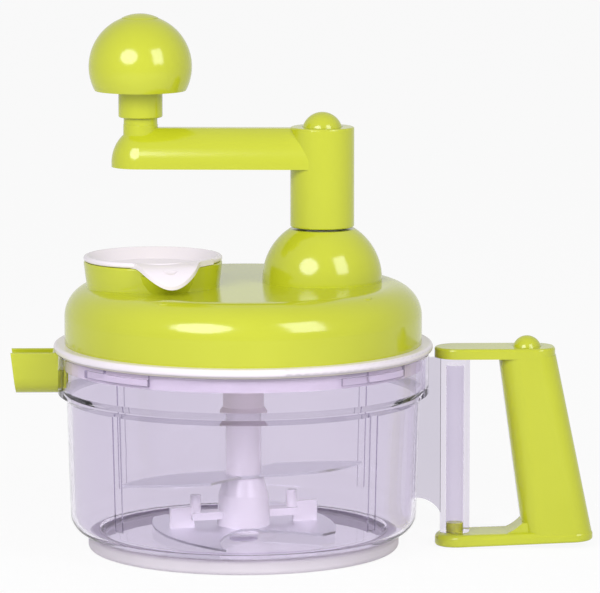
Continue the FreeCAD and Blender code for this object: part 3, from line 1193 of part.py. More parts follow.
def make_drive_socket():
    """Grey socket that hangs from the pinion through the lid floor. Ribs in its bore stand midway between
    the blade column's fins at rest, so the lid can twist shut before they meet."""
    body = new_body("drive_socket")
    turned(body, "Barrel", lines(
        ("0", "socket_bottom"),
        ("socket_flare", "socket_bottom"),
        ("socket_flare", "socket_bottom + socket_flare_height - overrun"),
        ("socket_radius", "socket_bottom + socket_flare_height + overrun"),
        ("socket_radius", "gear_floor_top"),
        ("0", "gear_floor_top")))
    extruded(body, "Spigot", "XY_Plane", lambda s: hexagon(s, "spigot_hexagon"),
             "pinion_top - gear_floor_top", lift="gear_floor_top")
    extruded(body, "Socket", "XY_Plane", disc("0", "0", "fin_reach + fin_clearance"),
             "socket_depth + overrun", cut=True, lift="socket_bottom - overrun")
    rib = extruded(body, "InnerRib", "XY_Plane", rectangle(
        "fin_core_radius + fin_clearance", "fin_reach + fin_clearance + overrun",
        "-fin_thickness / 2", "fin_thickness / 2"),
        "socket_depth - socket_mouth", lift="socket_bottom + socket_mouth", turn="180 / fin_count")
    repeated(body, "InnerRibs", [rib], "fin_count")
    extruded(body, "ScrewBore", "XY_Plane", disc("0", "0", "pinion_screw_radius"),
             "pinion_screw_length + overrun", cut=True, lift="pinion_top - pinion_screw_length")
    return place_on_lid(body)


def make_pinion_screw():
    """Screw that holds pinion and socket together."""
    body = new_body("pinion_screw")
    tip = "pinion_top - pinion_screw_length"
    crown = "pinion_top + pinion_screw_head_height"
    turned(body, "Screw", lines(
        ("0", tip), ("pinion_screw_radius", tip), ("pinion_screw_radius", "pinion_top"),
        ("pinion_screw_head", "pinion_top"), ("pinion_screw_head", crown, "pinion_screw_head_height / 2"),
        ("0", crown)))
    return place_on_lid(body)


def make_drive_shaft():
    """Crank shaft: lower journal, gear seat, upper journal, hexagon for the column, grooved head."""
    body = new_body("drive_shaft")
    turned(body, "Shaft", lines(
        ("0", "journal_bottom"), ("journal_radius", "journal_bottom"), ("journal_radius", "shaft_shoulder"),
        ("shaft_radius", "shaft_shoulder"), ("shaft_radius", "column_bottom"), ("0", "column_bottom")))
    extruded(body, "Hexagon", "XY_Plane", lambda s: hexagon(s, "crank_hexagon"),
             "hexagon_top - column_bottom", lift="column_bottom")
    turned(body, "Head", lines(
        ("0", "hexagon_top - overrun"), ("shaft_neck", "hexagon_top - overrun"),
        ("shaft_neck", "shaft_head_bottom"),
        ("shaft_head", "shaft_head_bottom"), ("shaft_head", "shaft_head_top", "shaft_head_rounding"),
        ("0", "shaft_head_top")))
    return place_on_crank(body)


# ---------------------------------------------------------------- crank

def arm_curve(side, crown, high, wall="0"):
    """The arm's rounded shoulder, between upright cheek and flank, and the flank's radius up to the crown."""
    edge = f"arm_edge_radius - {wall}"
    shoulder = f"{side} - ({edge}) * (1 - cos(arm_edge_turn))"
    shoulder_height = f"arm_spring_line + ({edge}) * sin(arm_edge_turn)"
    run = f"({shoulder} - ({crown}))"
    rise = f"({high} - ({shoulder_height}))"
    flank = f"({run} ^ 2 + {rise} ^ 2) / 2 / ({run} * cos(arm_edge_turn) - {rise} * sin(arm_edge_turn))"
    return shoulder, shoulder_height, edge, flank


def arm_arch(wall="0", open_bottom="0"):
    """The arm's arched cross-section, drawn in by a wall thickness."""
    side = f"arm_half_width - {wall}"
    crown = f"arm_crown - {wall} * crown_inset"
    high = f"arm_top - {wall}"
    shoulder, shoulder_height, edge, flank = arm_curve(side, crown, high, wall)
    return lines(
        (f"-({side})", f"arm_bottom - {open_bottom}"),
        (side, f"arm_bottom - {open_bottom}"),
        (side, "arm_spring_line"),
        edge,
        (shoulder, shoulder_height),
        flank,
        (crown, high),
        (f"-({crown})", high),
        flank,
        (f"-({shoulder})", shoulder_height),
        edge,
        (f"-({side})", "arm_spring_line"))


def make_crank_arm():
    """Column and arm in one moulding: arched section, hollow below, rounded end with the knob's boss."""
    body = new_body("crank_arm")
    turned(body, "Column", lines(
        ("0", "column_bottom"), ("column_radius", "column_bottom", "column_rounding"),
        ("column_radius", "column_top", "column_rounding"), ("0", "column_top")))
    extruded(body, "Arm", "YZ_Plane", arm_arch(), "crank_reach")
    shoulder, shoulder_height, edge, flank = arm_curve("arm_half_width", "arm_crown", "arm_top")
    turned(body, "ArmEnd", lines(
        ("0", "arm_bottom"), ("arm_half_width", "arm_bottom"), ("arm_half_width", "arm_spring_line"),
        edge, (shoulder, shoulder_height), flank, ("arm_crown", "arm_top"), ("0", "arm_top")),
        along="crank_reach")
    turned(body, "KnobBoss", lines(
        ("0", "arm_top - boss_root"), ("boss_radius", "arm_top - boss_root"),
        ("boss_radius", "boss_top", "boss_rounding"),
        ("neck_radius", "boss_top"), ("neck_radius", "neck_top"), ("0", "neck_top")), along="crank_reach")
    extruded(body, "ArmHollow", "YZ_Plane", arm_arch("arm_wall", "overrun"),
             "crank_reach - boss_radius - column_radius - 2 * arm_web", cut=True,
             lift="column_radius + arm_web")
    turned(body, "ButtonWell", rectangle(
        "0", "button_bore", "latch_chamber_top", "column_top + overrun"), cut=True)
    extruded(body, "LatchChamber", "XY_Plane", rectangle(
        "-button_bore", "keyhole_right + latch_travel + latch_gap",
        "-chamber_half_width", "chamber_half_width"),
        "latch_chamber_height + overrun", cut=True, lift="latch_chamber_bottom")
    extruded(body, "HexagonSocket", "XY_Plane", lambda s: hexagon(s, "crank_hexagon + hexagon_gap"),
             "latch_chamber_bottom - column_bottom + 2 * overrun", cut=True, lift="column_bottom - overrun")
    turned(body, "ColumnHollow", rectangle(
        "column_core_radius", "column_radius - column_wall", "column_bottom - overrun", "core_top"), cut=True)
    extruded(body, "BoltHole", "XY_Plane", disc("crank_reach", "0", "bolt_thread_radius"),
             "bolt_thread_length + overrun", cut=True, lift="bolt_tip")
    return place_on_crank(body)


def make_crank_button():
    """Domed push button on the column, with a wedge foot that drives the keyhole plate."""
    body = new_body("crank_button")
    turned(body, "Dome", lines(
        ("0", "crank_button_skirt"),
        ("crank_button_radius", "crank_button_skirt"),
        ("crank_button_radius", "column_top"),
        "(crank_button_rise ^ 2 + crank_button_radius ^ 2) / 2 / crank_button_rise",
        ("0", "column_top + crank_button_rise")))
    level = "latch_chamber_bottom + keyhole_lift + keyhole_thickness + keyhole_rise"
    face = "-keyhole_left - wedge_gap"
    extruded(body, "WedgeFoot", "XZ_Plane", lines(
        ("-foot_back", "crank_button_skirt + overrun"),
        ("-foot_back", f"{level} - foot_toe"),
        (f"{face} - foot_toe", f"{level} - foot_toe"),
        (f"{face} + latch_travel", f"{level} + latch_travel"),
        (f"{face} + latch_travel", "crank_button_skirt + overrun")),
        "foot_width", both=True)
    return place_on_crank(body)


def make_crank_latch():
    """Keyhole plate that holds the column on the shaft's head until the button pushes it along."""
    body = new_body("crank_latch")
    low = "latch_chamber_bottom + keyhole_lift"
    half = "chamber_half_width - keyhole_side_gap"
    extruded(body, "Plate", "XY_Plane", rectangle("-keyhole_left", "keyhole_right", f"-({half})", half),
             "keyhole_thickness", lift=low)
    extruded(body, "PushWall", "XY_Plane", rectangle(
        "-keyhole_left", "-keyhole_left + push_wall", "-push_wall_half_width", "push_wall_half_width"),
        "keyhole_thickness + keyhole_rise", lift=low)
    extruded(body, "Opening", "XY_Plane", disc("-latch_travel", "0", "shaft_head + latch_gap"),
             "keyhole_thickness + 2 * overrun", cut=True, lift=f"{low} - overrun")
    extruded(body, "Slot", "XY_Plane", rectangle(
        "-latch_travel", "shaft_neck + latch_gap", "-shaft_neck - latch_gap", "shaft_neck + latch_gap",
        "shaft_neck"), "keyhole_thickness + 2 * overrun", cut=True, lift=f"{low} - overrun")
    return place_on_crank(body)


def make_crank_spring():
    """Return spring of the column's button."""
    body = new_body("crank_button_spring")
    coil(body, "Coil", "crank_spring_radius", "spring_wire", "latch_chamber_top",
         "crank_button_skirt - latch_chamber_top", 5)
    return place_on_crank(body)


def place_on_knob(piece):
    """Stands a piece on the knob's axis."""
    return place(piece, "crank_offset * cos(lid_turn) + crank_reach * cos(arm_turn)",
                 "crank_offset * sin(lid_turn) + crank_reach * sin(arm_turn)", "arm_turn")


def make_knob():
    """Ball knob on a collar, bored for the shoulder bolt, with a seat for the cap."""
    body = new_body("knob")
    bore = "bolt_radius + running_clearance"
    well_bottom = "bolt_head_bottom - bolt_head_gap"
    turned(body, "Ball", lines(
        (bore, "neck_top + knob_gap"),
        ("knob_collar_radius", "neck_top + knob_gap", "knob_rounding"),
        ("knob_collar_radius", "knob_flat"),
        ("sqrt(knob_radius ^ 2 - (knob_centre - knob_flat) ^ 2)", "knob_flat"),
        "knob_radius",
        ("cap_seat_radius", "cap_seat_top"),
        ("cap_seat_radius", "cap_bottom"),
        ("bolt_well_radius", "cap_bottom"),
        ("bolt_well_radius", well_bottom),
        (bore, well_bottom)))
    return place_on_knob(body)


def make_knob_cap():
    """Disc that closes the knob's top."""
    body = new_body("knob_cap")
    turned(body, "Cap", lines(
        ("0", "cap_bottom"), ("cap_radius", "cap_bottom"), ("cap_radius", "cap_edge"),
        "(cap_radius ^ 2 + (cap_top - cap_edge) ^ 2) / 2 / (cap_top - cap_edge)", ("0", "cap_top")))
    return place_on_knob(body)


def make_knob_bolt():
    """Shoulder bolt screwed into the arm, on which the knob spins."""
    body = new_body("knob_bolt")
    turned(body, "Bolt", lines(
        ("0", "bolt_tip"), ("bolt_thread_radius", "bolt_tip"), ("bolt_thread_radius", "neck_top"),
        ("bolt_radius", "neck_top"), ("bolt_radius", "bolt_head_bottom"),
        ("bolt_head_radius", "bolt_head_bottom"),
        ("bolt_head_radius", "bolt_head_bottom + bolt_head_height", "bolt_head_rounding"),
        ("0", "bolt_head_bottom + bolt_head_height")))
    return place_on_knob(body)


# ---------------------------------------------------------------- blade unit

def make_blade_foot():
    """Disc under the lower blade, running on the floor boss."""
    body = new_body("blade_foot")
    bore = "pin_radius + running_clearance"
    turned(body, "Disc", lines(
        (bore, "pin_boss_top"), ("blade_foot_radius", "pin_boss_top", "blade_foot_rounding"),
        ("blade_foot_radius", "lower_blade_height"), (bore, "lower_blade_height")))
    return body


def two_wings(body, wing):
    """Adds the opposite wing."""
    return repeated(body, "Wings", [wing], "2")


def make_blade_lower():
    """Sickle blade just above the floor, one wing each way."""
    body = new_body("blade_lower")
    extruded(body, "Disc", "XY_Plane", disc("0", "0", "hub_radius"), "blade_thickness",
             lift="lower_blade_height")
    wing = extruded(body, "Wing", "XY_Plane", lines(
        ("0", "hub_radius - wing_inset"),
        ("lower_heel_x + heel_cut_run", "lower_heel_y + heel_cut_rise"),
        ("lower_heel_x", "lower_heel_y"),
        "lower_edge_sweep",
        ("lower_tip_x", "lower_tip_y"),
        "-lower_back_sweep",
        ("0", "-hub_radius + wing_inset")),
        "blade_thickness", lift="lower_blade_height")
    two_wings(body, wing)
    extruded(body, "Hole", "XY_Plane", disc("0", "0", "hub_spigot_radius + hub_spigot_gap"),
             "blade_thickness + 2 * overrun", cut=True, lift="lower_blade_height - overrun")
    return body


def make_blade_upper():
    """Sickle blade at mid height, one wing each way."""
    body = new_body("blade_upper")
    extruded(body, "Disc", "XY_Plane", disc("0", "0", "hub_top_radius"), "blade_thickness",
             lift="upper_blade_height")
    wing = extruded(body, "Wing", "XY_Plane", lines(
        ("0", "-hub_top_radius + wing_inset"),
        ("upper_root_x", "upper_root_y"),
        "upper_edge_sweep",
        ("upper_tip_x", "upper_tip_y"),
        "upper_back_sweep",
        ("upper_root_x", "upper_tip_y - upper_heel_drop"),
        ("0", "hub_top_radius - wing_inset")),
        "blade_thickness", lift="upper_blade_height")
    two_wings(body, wing)
    extruded(body, "Hole", "XY_Plane", disc("0", "0", "hub_spigot_radius + hub_spigot_gap"),
             "blade_thickness + 2 * overrun", cut=True, lift="upper_blade_height - overrun")
    return body


def make_blade_hub():
    """Bell-shaped hub between the blades, with two arms that carry a peg and an end paddle each."""
    body = new_body("blade_hub")
    bore = "pin_radius + running_clearance"
    turned(body, "Bell", lines(
        (bore, "lower_blade_height"),
        ("hub_spigot_radius", "lower_blade_height"),
        ("hub_spigot_radius", "lower_blade_top"),
        ("hub_radius", "lower_blade_top"),
        ("hub_shoulder_radius", "hub_shoulder"),
        ("hub_top_radius", "upper_blade_height", "hub_top_rounding"),
        ("hub_spigot_radius", "upper_blade_height"),
        ("hub_spigot_radius", "upper_blade_height + blade_thickness + hub_spigot_length"),
        (bore, "upper_blade_height + blade_thickness + hub_spigot_length")))
    arm = extruded(body, "Arm", "XY_Plane", rectangle(
        "hub_radius - hub_taper - overrun", "blade_arm_reach", "-blade_arm_width / 2", "blade_arm_width / 2"),
        "blade_arm_top - blade_arm_bottom", lift="blade_arm_bottom", turn="blade_arm_turn")
    paddle = extruded(body, "Paddle", "XY_Plane", rectangle(
        "blade_arm_reach - 2 * overrun", "paddle_outer", "-paddle_thickness / 2", "paddle_thickness / 2",
        "paddle_rounding"),
        "paddle_top - lower_blade_top", lift="lower_blade_top", turn="blade_arm_turn")
    peg = extruded(body, "Peg", "XY_Plane", disc("peg_offset", "0", "peg_radius"),
                   "peg_height + overrun", lift="blade_arm_top - overrun", turn="blade_arm_turn")
    repeated(body, "Arms", [arm, paddle, peg], "2")
    return body


def make_drive_column():
    """Stem above the upper blade, with fins on top that the lid's socket turns."""
    body = new_body("drive_column")
    bottom = "upper_blade_height + blade_thickness"
    turned(body, "Stem", lines(
        ("hub_spigot_radius", bottom), ("column_stem_radius", bottom), ("column_stem_radius", "stem_top"),
        ("0", "stem_top"), ("0", "pin_top + pin_top_gap"),
        ("pin_radius + running_clearance", "pin_top + pin_top_gap"),
        ("pin_radius + running_clearance", f"{bottom} + hub_spigot_length"),
        ("hub_spigot_radius", f"{bottom} + hub_spigot_length")))
    extruded(body, "Core", "XY_Plane", disc("0", "0", "fin_core_radius"),
             "fin_top - stem_top + overrun", lift="stem_top - overrun")
    fin = extruded(body, "Fin", "XY_Plane", rectangle(
        "fin_core_radius - overrun", "fin_reach", "-fin_thickness / 2", "fin_thickness / 2"),
        "fin_top - stem_top + overrun", lift="stem_top - overrun")
    repeated(body, "Fins", [fin], "fin_count")
    return place_on_lid(body)


# ---------------------------------------------------------------- build, check and write

def check_and_write():
    """Recomputes, refuses a failed object or an invalid solid, and writes one STEP file per piece."""
    doc.recompute()
    for piece in doc.Objects:
        if "Invalid" in piece.State or "Error" in piece.State:
            raise RuntimeError(f"{piece.Label} failed: {piece.State}")
    for piece in doc.Objects:
        if piece.TypeId in ("PartDesign::Pocket", "PartDesign::Groove", "PartDesign::SubtractiveLoft"):
            if abs(piece.BaseFeature.Shape.Volume - piece.Shape.Volume) < 1e-3:
                raise RuntimeError(f"{piece.Label} cuts nothing")
    os.makedirs("parts", exist_ok=True)
    for piece in parts:
        shape = piece.Shape
        if shape.isNull() or not shape.isValid() or not shape.Solids:
            raise RuntimeError(f"{piece.Label} is not a valid solid")
        shape.exportStep(f"parts/{piece.Label}.step")
        print(f"{piece.Label}: {len(shape.Solids)} solid(s), {shape.Volume / 1000:.2f} cm3")


make_bowl()
make_base_ring()
make_floor_pin()
make_spout()
make_handle_grip()
make_handle_button()
make_handle_latch()
make_handle_spring()
make_lid_seal()
make_lid_base()
make_lid_cover()
make_lid_screws()
make_lower_bush()
make_upper_bush()
make_egg_separator()
make_drive_gear()
make_driven_pinion()
make_drive_socket()
make_pinion_screw()
make_drive_shaft()
make_crank_arm()
make_crank_button()
make_crank_latch()
make_crank_spring()
make_knob()
make_knob_cap()
make_knob_bolt()
make_blade_foot()
make_blade_lower()
make_blade_upper()
make_blade_hub()
make_drive_column()
check_and_write()
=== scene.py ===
"""Looks of the hand-cranked food chopper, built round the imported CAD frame. Units are metres."""
import bpy
import json
import math
from mathutils import Matrix, Vector

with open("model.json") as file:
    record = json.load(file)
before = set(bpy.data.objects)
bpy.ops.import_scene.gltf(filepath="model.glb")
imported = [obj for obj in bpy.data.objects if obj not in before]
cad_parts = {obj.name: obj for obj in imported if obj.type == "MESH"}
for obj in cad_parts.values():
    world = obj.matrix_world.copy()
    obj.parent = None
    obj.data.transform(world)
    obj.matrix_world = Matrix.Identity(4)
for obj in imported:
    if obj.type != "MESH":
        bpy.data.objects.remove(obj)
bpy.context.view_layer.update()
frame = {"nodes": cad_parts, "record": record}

# ---------------------------------------------------------------- camera

VIEW_AZIMUTH = math.radians(-1.5)
VIEW_ELEVATION = math.radians(7.79)
VIEW_DISTANCE = 2.2
VIEW_TARGET = Vector((0.0275, 0.0, 0.1227))
IMAGE_WIDTH = 600
PIXELS_PER_METRE = 2064.2
SENSOR_WIDTH = 36.0


def add_camera():
    """The photograph's camera: a long lens, a little above the bowl's rim."""
    data = bpy.data.cameras.new("camera")
    focal_pixels = PIXELS_PER_METRE * VIEW_DISTANCE
    data.sensor_width = SENSOR_WIDTH
    data.lens = focal_pixels / IMAGE_WIDTH * SENSOR_WIDTH
    data.clip_start = 0.01
    data.clip_end = 50.0
    camera = bpy.data.objects.new("camera", data)
    bpy.context.scene.collection.objects.link(camera)
    turn = Matrix.Rotation(VIEW_AZIMUTH, 4, "Z")
    back = Vector((0.0, -math.cos(VIEW_ELEVATION), math.sin(VIEW_ELEVATION)))
    camera.location = turn @ (VIEW_TARGET + back * VIEW_DISTANCE)
    camera.rotation_euler = (turn.to_3x3() @ -back).to_track_quat("-Z", "Y").to_euler()
    bpy.context.scene.camera = camera


# ---------------------------------------------------------------- materials

# Height above which the bowl has steps and ribs, where its handle web starts,
# and half the depth of the post and of the web: the bounds of the painted shade below.
FLOOR_ZONE = 0.016
WEB_START = 0.0835
POST_REACH = 0.009
WEB_REACH = 0.0025

# How much painted shade the faces that stand across the wall take, in the bowl and on the web: dark lines
# that stand in for the light such edge-on faces of clear plastic lose.
# A face is along the wall above ALONG_WALL and across it below ACROSS_WALL (cosine to the outward line).
STEP_SHADE = 0.8
WEB_SHADE = 0.25
ALONG_WALL = 0.9
ACROSS_WALL = 0.5

PLASTIC_IOR = 1.58
# Far lower than a real plastic's, which would turn the edges of the bowl's thick steps black.
BOWL_IOR = 1.05

# Noise scales per metre: slow drifts of colour, quicker ones of gloss, and the ripple of a moulded skin.
COLOR_DRIFT = 14.0
GLOSS_DRIFT = 60.0
SKIN_RIPPLE = 90.0
SKIN_DEPTH = 0.00003


def srgb(red, green, blue):
    """A colour given as 0-255 sRGB, as the linear colour that Blender wants."""
    def linear(value):
        value /= 255
        return value / 12.92 if value <= 0.04045 else ((value + 0.055) / 1.055) ** 2.4
    return (linear(red), linear(green), linear(blue), 1.0)


def new_material(name, color, roughness, **sockets):
    """A material with a Principled shader. Returns the material, its nodes, its links and the shader."""
    material = bpy.data.materials.new(name)
    material.use_nodes = True
    nodes, links = material.node_tree.nodes, material.node_tree.links
    shader = nodes["Principled BSDF"]
    shader.inputs["Base Color"].default_value = color
    shader.inputs["Roughness"].default_value = roughness
    for socket, value in sockets.items():
        shader.inputs[socket].default_value = value
    return material, nodes, links, shader


def noise(nodes, links, scale, detail=3.0, stretch=(1, 1, 1)):
    """Noise in the object's own coordinates, optionally stretched."""
    coordinates = nodes.new("ShaderNodeTexCoord")
    mapping = nodes.new("ShaderNodeMapping")
    mapping.inputs["Scale"].default_value = stretch
    texture = nodes.new("ShaderNodeTexNoise")
    texture.inputs["Scale"].default_value = scale
    texture.inputs["Detail"].default_value = detail
    links.new(coordinates.outputs["Object"], mapping.inputs["Vector"])
    links.new(mapping.outputs["Vector"], texture.inputs["Vector"])
    return texture


def vary_color(nodes, links, shader, texture, low, high):
    """Drifts the base colour between two near colours."""
    ramp = nodes.new("ShaderNodeValToRGB")
    ramp.color_ramp.elements[0].position = 0.3
    ramp.color_ramp.elements[1].position = 0.7
    ramp.color_ramp.elements[0].color = low
    ramp.color_ramp.elements[1].color = high
    links.new(texture.outputs["Fac"], ramp.inputs["Fac"])
    links.new(ramp.outputs["Color"], shader.inputs["Base Color"])


def vary_roughness(nodes, links, shader, texture, low, high):
    """Drifts the roughness between two values."""
    span = nodes.new("ShaderNodeMapRange")
    span.inputs["To Min"].default_value = low
    span.inputs["To Max"].default_value = high
    links.new(texture.outputs["Fac"], span.inputs["Value"])
    links.new(span.outputs["Result"], shader.inputs["Roughness"])


def add_bump(nodes, links, shader, texture, depth):
    """A fine bump from a texture, depth in metres."""
    bump = nodes.new("ShaderNodeBump")
    bump.inputs["Strength"].default_value = 1.0
    bump.inputs["Distance"].default_value = depth
    links.new(texture.outputs["Fac"], bump.inputs["Height"])
    links.new(bump.outputs["Normal"], shader.inputs["Normal"])


def moulded_plastic(name, low, high, roughness):
    """Moulded gloss plastic: a slight drift in its colour and gloss, and a faint ripple in its skin."""
    material, nodes, links, shader = new_material(name, low, roughness[0])
    shader.inputs["IOR"].default_value = PLASTIC_IOR
    vary_color(nodes, links, shader, noise(nodes, links, COLOR_DRIFT), low, high)
    vary_roughness(nodes, links, shader, noise(nodes, links, GLOSS_DRIFT), *roughness)
    add_bump(nodes, links, shader, noise(nodes, links, SKIN_RIPPLE, 1.0), SKIN_DEPTH)
    return material


def math_node(nodes, links, operation, first, second=None):
    """A Math node fed with a socket, and with a second socket or value."""
    node = nodes.new("ShaderNodeMath")
    node.operation = operation
    links.new(first, node.inputs[0])
    if isinstance(second, float):
        node.inputs[1].default_value = second
    elif second is not None:
        links.new(second, node.inputs[1])
    return node.outputs[0]


def paint_step_shade(nodes, links, shader):
    """Paints shade on the bowl's faces that stand across its wall, such as steps, grooves and the ribs'
    sides, in place of the light that clear plastic loses at such faces.
    """
    base = shader.inputs["Base Color"].links[0].from_socket
    coordinates = nodes.new("ShaderNodeTexCoord")
    place = nodes.new("ShaderNodeSeparateXYZ")
    links.new(coordinates.outputs["Object"], place.inputs["Vector"])
    outward = nodes.new("ShaderNodeCombineXYZ")
    links.new(place.outputs["X"], outward.inputs["X"])
    links.new(place.outputs["Y"], outward.inputs["Y"])
    unit = nodes.new("ShaderNodeVectorMath")
    unit.operation = "NORMALIZE"
    links.new(outward.outputs["Vector"], unit.inputs[0])
    facing = nodes.new("ShaderNodeVectorMath")
    facing.operation = "DOT_PRODUCT"
    links.new(unit.outputs["Vector"], facing.inputs[0])
    links.new(coordinates.outputs["Normal"], facing.inputs[1])
    across = nodes.new("ShaderNodeMapRange")
    across.inputs["From Min"].default_value = ALONG_WALL
    across.inputs["From Max"].default_value = ACROSS_WALL
    links.new(math_node(nodes, links, "ABSOLUTE", facing.outputs["Value"]), across.inputs["Value"])
    above_floor = math_node(nodes, links, "GREATER_THAN", place.outputs["Z"], FLOOR_ZONE)
    beyond_wall = math_node(nodes, links, "GREATER_THAN", place.outputs["X"], WEB_START)
    sideways = math_node(nodes, links, "ABSOLUTE", place.outputs["Y"])
    in_line = math_node(nodes, links, "LESS_THAN", sideways, POST_REACH)
    on_handle = math_node(nodes, links, "MULTIPLY", beyond_wall, in_line)
    thin = math_node(nodes, links, "LESS_THAN", sideways, WEB_REACH)
    web_share = math_node(nodes, links, "MULTIPLY", thin, WEB_SHADE)
    share = nodes.new("ShaderNodeMapRange")
    share.inputs["To Min"].default_value = STEP_SHADE
    links.new(web_share, share.inputs["To Max"])
    links.new(on_handle, share.inputs["Value"])
    amount = math_node(nodes, links, "MULTIPLY", across.outputs["Result"], above_floor)
    amount = math_node(nodes, links, "MULTIPLY", amount, share.outputs["Result"])
    mix = nodes.new("ShaderNodeMix")
    mix.data_type = "RGBA"
    links.new(amount, mix.inputs["Factor"])
    links.new(base, mix.inputs["A"])
    # The colour of the painted shade on the faces across the wall.
    mix.inputs["B"].default_value = srgb(128, 120, 146)
    links.new(mix.outputs["Result"], shader.inputs["Base Color"])


def clear_plastic():
    """Clear moulded plastic with a lavender tint, under a clear coat, with painted shade on the faces that
    stand across its wall.
    """
    material, nodes, links, shader = new_material(
        "clear_bowl", srgb(232, 227, 238), 0.02,
        **{"Transmission Weight": 1.0, "IOR": BOWL_IOR, "Coat Weight": 0.5, "Coat Roughness": 0.04})
    drift = noise(nodes, links, COLOR_DRIFT)
    vary_color(nodes, links, shader, drift, srgb(230, 225, 237), srgb(234, 229, 240))
    # Painted shade on the faces that stand across the wall.
    paint_step_shade(nodes, links, shader)
    vary_roughness(nodes, links, shader, noise(nodes, links, 40.0), 0.01, 0.035)
    add_bump(nodes, links, shader, noise(nodes, links, 22.0, 1.0), 0.00004)
    return material


def soft_rubber(name, low, high):
    """Matte soft plastic or rubber with a fine grain."""
    material, nodes, links, shader = new_material(name, low, 0.6)
    vary_color(nodes, links, shader, noise(nodes, links, 30.0), low, high)
    add_bump(nodes, links, shader, noise(nodes, links, 1400.0, 2.0), 0.00002)
    return material


def rolled_steel():
    """Polished stainless sheet with a fine grain along its length."""
    material, nodes, links, shader = new_material("steel", srgb(236, 236, 240), 0.3, Metallic=1.0)
    grain = noise(nodes, links, 300.0, 2.0, stretch=(1, 12, 1))
    vary_roughness(nodes, links, shader, grain, 0.24, 0.38)
    add_bump(nodes, links, shader, grain, 0.00001)
    return material


MATERIALS = {
    "green_gloss": moulded_plastic("green_gloss", srgb(190, 196, 38), srgb(196, 202, 48), (0.12, 0.17)),
    "white_gloss": moulded_plastic("white_gloss", srgb(236, 228, 237), srgb(241, 233, 242), (0.2, 0.28)),
    "white_matte": moulded_plastic("white_matte", srgb(248, 245, 248), srgb(252, 249, 252), (0.35, 0.45)),
    # A lighter copy of the white, as painted light for the blade unit behind the bowl's wall.
    "painted_light_white": moulded_plastic("painted_light_white", srgb(252, 249, 251), srgb(255, 252, 254), (0.2, 0.28)),
    # Set near white, lighter than the part's own pale grey, as painted light that makes up for the dim light
    # behind the bowl's wall.
    "grey_plastic": moulded_plastic("grey_plastic", srgb(246, 239, 238), srgb(250, 243, 242), (0.35, 0.45)),
    "pale_rubber": soft_rubber("pale_rubber", srgb(215, 208, 217), srgb(221, 214, 223)),
    "seal_rubber": soft_rubber("seal_rubber", srgb(214, 207, 200), srgb(220, 213, 207)),
    "clear_bowl": clear_plastic(),
    "steel": rolled_steel(),
}


# The blade unit stands behind the bowl's tinted wall, where little light reaches it, so it gets a lighter
# white than the lid's, as painted light, though the record gives both one slot.
PAINTED_LIGHT_NODES = {"blade_hub": "painted_light_white", "drive_column": "painted_light_white"}


def dress_cad_nodes():
    """Gives each CAD node the material of its slot in the record, or the lighter white of painted light for
    the blade unit.
    """
    slots = {part["node"]: part["material_slot"] for part in frame["record"]["subparts"]}
    slots.update(PAINTED_LIGHT_NODES)
    for node, piece in frame["nodes"].items():
        piece.data.materials.clear()
        piece.data.materials.append(MATERIALS[slots[node]])


# ---------------------------------------------------------------- stage and lights

WHITE = (1.0, 1.0, 1.0, 1.0)
SEEN_WHITE = srgb(252, 252, 252)
SHADOW_SHARE = 0.08
GLOSS_SHARE = 0.8
AMBIENT_STRENGTH = 0.32
FLOOR_SIZE = 16.0
FLOOR_GAP = 0.0003
LAMP_TARGET = Vector((0.0, 0.0, 0.12))


def seen_rays(nodes, links):
    """1 for rays from the camera and through clear plastic, GLOSS_SHARE for rays off gloss, 0 for others."""
    path = nodes.new("ShaderNodeLightPath")
    off_gloss = math_node(nodes, links, "MULTIPLY", path.outputs["Is Glossy Ray"], GLOSS_SHARE)
    seen = math_node(nodes, links, "MAXIMUM", path.outputs["Is Camera Ray"], off_gloss)
    return math_node(nodes, links, "MAXIMUM", seen, path.outputs["Is Transmission Ray"])


def floor_material():
    """White matte floor. What is seen of it is mostly even white, with a share that still takes shadow."""
    material, nodes, links, shader = new_material("floor", srgb(250, 250, 251), 0.9)
    shader.inputs["Specular IOR Level"].default_value = 0.0
    share = math_node(nodes, links, "MULTIPLY", seen_rays(nodes, links), 1.0 - SHADOW_SHARE)
    white = nodes.new("ShaderNodeEmission")
    white.inputs["Color"].default_value = WHITE
    mix = nodes.new("ShaderNodeMixShader")
    links.new(share, mix.inputs["Fac"])
    links.new(shader.outputs["BSDF"], mix.inputs[1])
    links.new(white.outputs["Emission"], mix.inputs[2])
    links.new(mix.outputs["Shader"], nodes["Material Output"].inputs["Surface"])
    return material


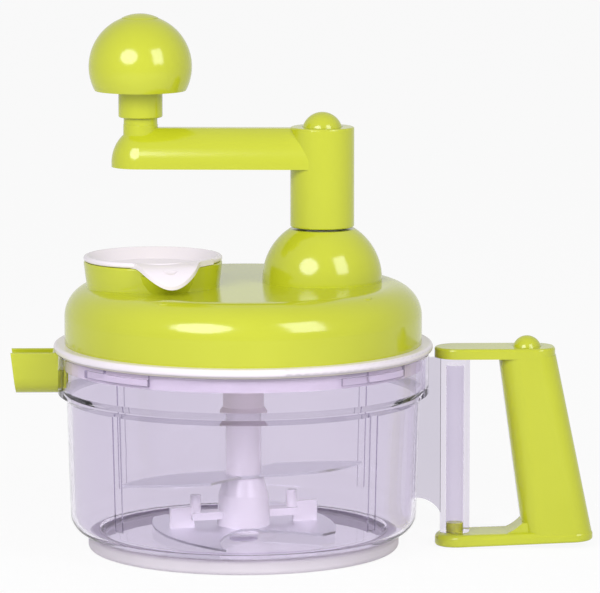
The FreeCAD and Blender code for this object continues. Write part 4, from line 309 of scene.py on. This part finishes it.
def add_stage():
    """A plain pale floor that runs far behind the object."""
    bpy.ops.mesh.primitive_plane_add(size=FLOOR_SIZE, location=(0, 0, -FLOOR_GAP))
    floor = bpy.context.object
    floor.name = "floor"
    floor.data.materials.append(floor_material())


def add_world():
    """An even pale surround, seen as near white by the camera, by gloss and through clear plastic."""
    world = bpy.data.worlds.new("surround")
    bpy.context.scene.world = world
    world.use_nodes = True
    nodes, links = world.node_tree.nodes, world.node_tree.links
    ambient = nodes["Background"]
    seen = nodes.new("ShaderNodeBackground")
    ambient.inputs["Color"].default_value = WHITE
    ambient.inputs["Strength"].default_value = AMBIENT_STRENGTH
    seen.inputs["Color"].default_value = SEEN_WHITE
    seen.inputs["Strength"].default_value = 1.0
    mix = nodes.new("ShaderNodeMixShader")
    links.new(seen_rays(nodes, links), mix.inputs["Fac"])
    links.new(ambient.outputs["Background"], mix.inputs[1])
    links.new(seen.outputs["Background"], mix.inputs[2])
    links.new(mix.outputs["Shader"], nodes["World Output"].inputs["Surface"])


def add_softbox(name, azimuth, elevation, distance, width, height, power, shape="RECTANGLE"):
    """An area lamp aimed at the object. Azimuth 0 is at the camera's side, positive to the right."""
    data = bpy.data.lights.new(name, "AREA")
    data.shape = shape
    data.size = width
    data.size_y = height
    data.energy = power
    lamp = bpy.data.objects.new(name, data)
    bpy.context.scene.collection.objects.link(lamp)
    turn = math.radians(azimuth)
    rise = math.radians(elevation)
    direction = Vector((math.sin(turn) * math.cos(rise), -math.cos(turn) * math.cos(rise), math.sin(rise)))
    lamp.location = LAMP_TARGET + direction * distance
    lamp.rotation_euler = (-direction).to_track_quat("-Z", "Y").to_euler()


def add_lights():
    """A large oval softbox at the left and a smaller upright one at the right."""
    add_softbox("key_left", -29, 29, 1.3, 0.84, 0.72, 10.0, "ELLIPSE")
    add_softbox("key_right", 41, 29, 1.3, 0.53, 0.72, 6.4)


add_camera()
dress_cad_nodes()
add_stage()
add_world()
add_lights()
bpy.context.scene.view_settings.view_transform = "Standard"
